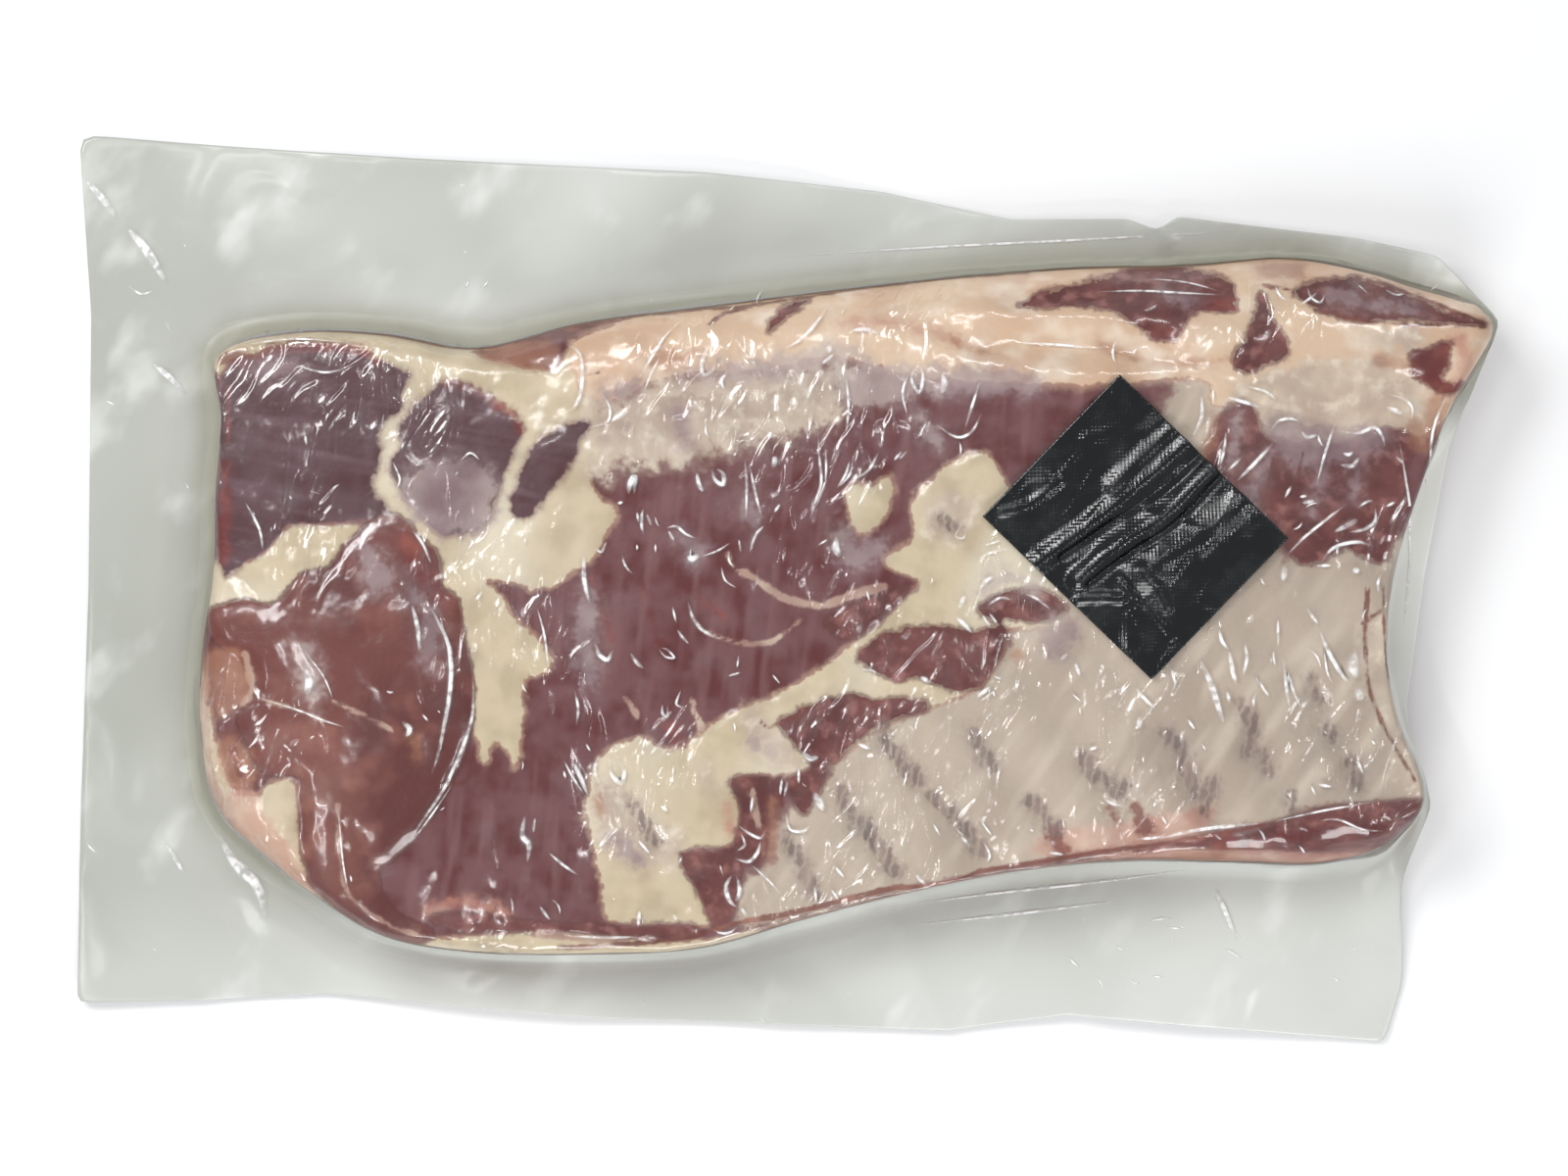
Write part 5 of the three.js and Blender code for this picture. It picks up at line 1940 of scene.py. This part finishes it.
@dataclass
class FilmCreases:
    """Film pinched into thin standing creases: closed, lens-shaped slivers along the surface.

    A point of the section tells how far it lies to the side and up, and how much it covers.
    """

    ground: Ground
    bare: np.ndarray
    height_share: float = 0.2
    sunk: float = 0.12 * MM
    broader: float = 2.3
    end_margin: float = 0.2
    least_taper: float = 0.1
    fullness: float = 0.7
    bow: float = 0.12
    shortest_share: float = 0.5
    short_width: float = 0.6
    width_by_length: float = 0.03
    seed: int = 7
    # The third number is the cover, which makes the white core: whitened film and a painted glint.
    section: tuple[tuple[float, float, float], ...] = (
        (-1, 0, 0), (-0.5, 0.5, 0.3), (-0.26, 1, 1), (0.26, 1, 1), (0.5, 0.5, 0.3), (1, 0, 0),
        (0, -0.2, 0),
    )
    core: list[float] = field(default_factory=list)
    points: list[Vector] = field(default_factory=list)
    faces: list[tuple[int, ...]] = field(default_factory=list)
    piece: bpy.types.Object = field(init=False)

    def build(self) -> bpy.types.Object:
        """All the creases as one mesh."""
        # Each crease's white core is partly a painted glint.
        for width, traced in LONG_CREASES:
            self.add(rounded(traced, closed=False, steps=4), width)
        draw = np.random.default_rng(self.seed)
        for stretch in CREASE_FIELDS:
            for _ in range(stretch.count):
                self.add(*self.short_crease(stretch, draw))
        mesh = bpy.data.meshes.new("film_creases")
        mesh.from_pydata(self.points, [], self.faces)
        store(mesh, "core", np.array(self.core))
        self.piece = bpy.data.objects.new("film_creases", mesh)
        bpy.context.scene.collection.objects.link(self.piece)
        only(self.piece)
        bpy.ops.object.mode_set(mode="EDIT")
        bpy.ops.mesh.select_all(action="SELECT")
        bpy.ops.mesh.normals_make_consistent(inside=False)
        bpy.ops.object.mode_set(mode="OBJECT")
        smooth_shaded(self.piece)
        return self.piece

    def short_crease(
        self, stretch: CreaseField, draw: np.random.Generator,
    ) -> tuple[np.ndarray, float]:
        """A random short crease.

        Args:
            stretch: The stretch of the pack that it lies in.
            draw: Where the random numbers come from.

        Returns:
            Its line and its width, in photo pixels.
        """
        middle = draw.uniform((stretch.left, stretch.top), (stretch.right, stretch.bottom))
        lean = stretch.lean + draw.normal() * stretch.spread
        length = draw.uniform(*stretch.lengths) * draw.uniform(self.shortest_share, 1)
        run = np.array([math.sin(lean), math.cos(lean)])
        bow = np.array([run[1], -run[0]]) * draw.normal() * length * self.bow
        part = np.linspace(-0.5, 0.5, 5)[:, None]
        line = middle + part * length * run + (1 - 4 * part**2) * bow
        broader = self.short_width + self.width_by_length * length
        return line, draw.uniform(*stretch.widths) * broader

    def add(self, line: np.ndarray, width: float) -> None:
        """Lays one crease on the film, unless it would lie under the cloth or off the pack.

        Args:
            line: Its line, in photo pixels.
            width: Its width in the middle, in photo pixels.
        """
        if inside(line, self.bare).any():
            return
        found = [self.ground.seen_at(tuple(pixel)) for pixel in line]
        if None in found or len(found) < 3:
            return
        centres = [place for place, _normal in found]
        first = len(self.points)
        last = len(centres) - 1
        for i, (centre, normal) in enumerate(found):
            run = (centres[min(i + 1, last)] - centres[max(i - 1, 0)]).normalized()
            side = run.cross(normal).normalized()
            part = (i + self.end_margin) / (last + 2 * self.end_margin)
            taper = max(math.sin(math.pi * part), self.least_taper) ** self.fullness
            half = 0.5 * width * self.broader * VIEW.metres_a_pixel * taper
            rise = 2 * half * self.height_share
            for across, up, core in self.section:
                lift = normal * (up * rise - self.sunk)
                self.points.append(centre + side * (across * half) + lift)
                self.core.append(core * taper)
        self.close(first, last)

    def close(self, first: int, lengths: int) -> None:
        """Joins one crease's rings of points with faces, and closes both ends.

        Args:
            first: The number of its first point.
            lengths: How many stretches there are between its rings.
        """
        ring = len(self.section)
        for here in range(first, first + lengths * ring, ring):
            there = here + ring
            for k in range(ring):
                beside = (k + 1) % ring
                self.faces.append((here + k, here + beside, there + beside, there + k))
        end = first + lengths * ring
        self.faces.append(tuple(reversed(range(first, first + ring))))
        self.faces.append(tuple(range(end, end + ring)))

    def dress(self) -> None:
        """Gives the creases their finish and their place in the record."""
        self.piece.data.materials.append(CreaseFinish().make())
        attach(self.piece, "root")


# ---- the cloth patch ----------------------------------------------------------------------------


@dataclass(frozen=True)
class ClothFold:
    """A fold pressed across the patch, in millimetres: its line, how wide and how high it is.

    A line's points count along the patch and across it from its middle. A fold with a height
    below nothing is a tuck.
    """

    half_width: float
    height: float
    line: Outline


@dataclass
class ClothPatch:
    """The square of black woven cloth that lies folded and pressed on the film."""

    ground: Ground
    middle: Point = (146.6 * MM, 25.8 * MM)
    length: float = 98 * MM
    width: float = 82 * MM
    turn: float = math.radians(-44)
    seen_height: float = 40 * MM
    thickness: float = 0.45 * MM
    gap: float = 0.35 * MM
    cells: tuple[int, int] = (140, 118)
    folds: tuple[ClothFold, ...] = (
        ClothFold(6.5, 1.9, ((-19, 6), (-18.5, 20), (-17, 42))),
        ClothFold(7.5, 2.9, ((-20, -44), (-15, -16), (-12, 5), (-9, 36), (-9, 44))),
        ClothFold(3.2, -2.6, ((-13, -30), (-8, -8), (-4, 8), (-1, 26), (0, 44))),
        ClothFold(7.5, 3.4, ((-2, -32), (0, -12), (5, 10), (6, 24), (6, 44))),
        ClothFold(2.6, -3.4, ((3, -30), (6, -12), (11, 8), (12, 24), (11, 44))),
        ClothFold(11.0, 2.6, ((15, -14), (20, 6), (23, 24), (26, 44))),
        ClothFold(2.2, -1.6, ((9, -19), (22, -20), (32, -21), (43, -22))),
        ClothFold(6.0, 1.6, ((14, -12), (24, -13), (32, -15))),
        ClothFold(4.5, 1.5, ((4, -38), (10, -31), (16, -26))),
        ClothFold(4.0, 1.0, ((-44, -34), (-38, -22), (-36, -8))),
        ClothFold(7.0, 0.9, ((-40, 12), (-34, 24), (-30, 40))),
    )
    fold_base: float = 0.3
    fold_sharpness: float = 1.2
    flattening: float = 3.0
    crumple: tuple[tuple[float, float, int], ...] = ((17, 0.4, 31), (8, 0.13, 32), (3.4, 0.04, 33))
    crumple_stretch: float = 1.6
    crumple_turn: float = 0.3
    settling_rounds: int = 6
    settling_drop: float = 0.02 * MM
    piece: bpy.types.Object = field(init=False)

    def corners(self) -> np.ndarray:
        """The patch's corners in photo pixels."""
        halves = [(-1, -1), (1, -1), (1, 1), (-1, 1)]
        flat = np.array(halves, float) * (self.length / 2, self.width / 2)
        places = np.column_stack([self.laid(flat), np.full(4, self.seen_height)])
        return VIEW.pixels(places)

    def laid(self, flat: np.ndarray) -> np.ndarray:
        """Turns places on the flat cloth into X and Y on the pack."""
        cos, sin = math.cos(self.turn), math.sin(self.turn)
        x = flat[:, 0] * cos - flat[:, 1] * sin + self.middle[0]
        y = flat[:, 0] * sin + flat[:, 1] * cos + self.middle[1]
        return np.column_stack([x, y])

    def fold_height(self, flat: np.ndarray) -> np.ndarray:
        """How far folds and crumpling lift the cloth.

        Args:
            flat: Rows of places on the flat cloth, in metres from its middle.

        Returns:
            One height for each place, in metres.
        """
        along, across = flat.T / MM
        height = np.full(len(flat), self.fold_base)
        for fold in self.folds:
            away = distance_to_line(flat / MM, rounded(fold.line, closed=False))
            part = np.minimum(away / fold.half_width, 1)
            height += fold.height * (0.5 + 0.5 * np.cos(np.pi * part)) ** self.fold_sharpness
        height = np.logaddexp(0, self.flattening * height) / self.flattening
        places = np.column_stack([along * self.crumple_stretch, across])
        for size, rise, seed in self.crumple:
            height += rise * creased_noise(places, (size, size), self.crumple_turn, seed)
        return height * MM

    def build(self) -> bpy.types.Object:
        """The finished cloth, with its thickness and its own map."""
        bpy.ops.object.select_all(action="DESELECT")
        bpy.ops.mesh.primitive_grid_add(
            x_subdivisions=self.cells[0], y_subdivisions=self.cells[1], size=1, calc_uvs=True,
        )
        self.piece = bpy.context.active_object
        self.piece.name = "cloth_patch"
        mesh = self.piece.data
        flat = places_of(mesh)[:, :2] * (self.length, self.width)
        xy = self.laid(flat)
        below = np.array([self.ground.hit(x, y)[0].z for x, y in xy])
        height = self.settled(below) + self.gap + self.fold_height(flat)
        move_to(mesh, np.column_stack([xy, height]))
        only(self.piece)
        bpy.ops.object.modifier_add(type="SOLIDIFY")
        solid = self.piece.modifiers[-1]
        solid.thickness = self.thickness
        solid.offset = 1
        bpy.ops.object.modifier_apply(modifier=solid.name)
        smooth_shaded(self.piece)
        return self.piece

    def settled(self, below: np.ndarray) -> np.ndarray:
        """The surface under the cloth with its sharpest wrinkles bridged over."""
        columns, rows = self.cells[0] + 1, self.cells[1] + 1
        grid = below.reshape(rows, columns)
        for _ in range(self.settling_rounds):
            edged = np.pad(grid, 1, mode="edge")
            around = (edged[:-2, 1:-1] + edged[2:, 1:-1] + edged[1:-1, :-2] + edged[1:-1, 2:]) / 4
            grid = np.maximum(around, grid - self.settling_drop)
        return grid.ravel()

    def dress(self) -> None:
        self.piece.data.materials.append(ClothFinish().make())
        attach(self.piece, "root")
        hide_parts("patch")


# ---- the photo's setting ------------------------------------------------------------------------


@dataclass(frozen=True)
class StripLight:
    """A long lamp: its side and its lean from overhead, in degrees, its watts and its size."""

    bearing: float
    from_overhead: float
    power: float
    size: tuple[float, float]
    distance: float = 1.5


@dataclass
class Setting:
    """The floor, the lamps, the sky and the camera."""

    sensor: float = 36.0
    sky: Colour = (0.93, 0.96, 1.0, 1.0)
    sky_strength: float = 0.38
    floor_side: float = 8.0
    floor_drop: float = 0.1 * MM
    floor_clouds: float = 3.0
    floor_colours: tuple[Colour, Colour] = (srgb(240, 240, 240), srgb(246, 246, 246))
    floor_roughness: float = 0.9
    floor_shine: float = 0.1
    lights: tuple[StripLight, ...] = (
        StripLight(135, 46, 12.6, (0.9, 0.4)),
        StripLight(118, 24, 1.8, (0.6, 0.02)),
        StripLight(58, 36, 2.0, (0.6, 0.02)),
        StripLight(205, 30, 1.8, (0.5, 0.02)),
        StripLight(335, 40, 1.6, (0.5, 0.02)),
        StripLight(275, 58, 12.0, (1.0, 0.5)),
    )

    def build(self) -> None:
        """Makes the whole setting."""
        self.make_floor()
        self.make_sky()
        for number, light in enumerate(self.lights, 1):
            self.make_light(f"lamp_{number}", light)
        self.make_camera()
        bpy.context.scene.view_settings.view_transform = "Standard"

    def make_floor(self) -> None:
        """A plain pale floor, just under the pack."""
        bpy.ops.object.select_all(action="DESELECT")
        bpy.ops.mesh.primitive_plane_add(size=self.floor_side, location=(0, 0, -self.floor_drop))
        floor = bpy.context.active_object
        floor.name = "floor"
        bpy.ops.object.transform_apply(location=True)
        material, wiring, shader = new_material("pale_floor")
        cloud = wiring.noise(wiring.placed(), self.floor_clouds, 3)
        wiring.feed(shader.inputs["Base Color"], wiring.blend(cloud, *self.floor_colours))
        shader.inputs["Roughness"].default_value = self.floor_roughness
        shader.inputs["Specular IOR Level"].default_value = self.floor_shine
        floor.data.materials.append(material)

    def make_sky(self) -> None:
        """Even soft light from all round."""
        world = bpy.data.worlds.new("soft_sky")
        world.use_nodes = True
        sky = world.node_tree.nodes["Background"]
        sky.inputs["Color"].default_value = self.sky
        sky.inputs["Strength"].default_value = self.sky_strength
        bpy.context.scene.world = world

    @staticmethod
    def make_light(name: str, light: StripLight) -> None:
        """One lamp, turned to the pack."""
        lean, bearing = math.radians(light.from_overhead), math.radians(light.bearing)
        level = math.sin(lean) * light.distance
        place = Vector(
            (level * math.cos(bearing), level * math.sin(bearing), math.cos(lean) * light.distance)
        )
        data = bpy.data.lights.new(name, "AREA")
        data.shape = "RECTANGLE"
        data.size, data.size_y = light.size
        data.energy = light.power
        lamp = bpy.data.objects.new(name, data)
        lamp.location = place
        lamp.rotation_euler = (-place).to_track_quat("-Z", "Y").to_euler()
        bpy.context.scene.collection.objects.link(lamp)

    def make_camera(self) -> None:
        """A camera that looks straight down and takes in what the photo did."""
        data = bpy.data.cameras.new("camera")
        data.lens = self.sensor * VIEW.camera_height / (VIEW.width * VIEW.metres_a_pixel)
        data.sensor_width = self.sensor
        data.sensor_fit = "HORIZONTAL"
        camera = bpy.data.objects.new("camera", data)
        camera.location = (0, (VIEW.middle[1] - VIEW.height / 2) * VIEW.metres_a_pixel,
                           VIEW.camera_height)
        bpy.context.scene.collection.objects.link(camera)
        bpy.context.scene.camera = camera


# ---- the pack -----------------------------------------------------------------------------------


def report(piece: bpy.types.Object) -> None:
    """Notes a finished piece's name and how many faces it has."""
    LOG.info("%s: %d faces", piece.name, len(piece.data.polygons))


def main() -> None:
    """Builds the pack round its frame, piece by piece, and its setting."""
    logging.basicConfig(level=logging.INFO, format="%(name)s %(message)s")
    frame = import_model()
    shared = SharedEffects()
    pouch = frame["nodes"]["pouch"]

    meat = MeatSlab(pouch)
    report(meat.build())
    meat.dress(shared)

    film = VacuumFilm(pouch)
    report(film.build())
    film.dress(shared)
    ground = Ground(film.piece)

    patch = ClothPatch(ground)
    report(patch.build())
    patch.dress()

    creases = FilmCreases(ground, patch.corners())
    report(creases.build())
    creases.dress()

    Setting().build()


if __name__ == "__main__":
    main()
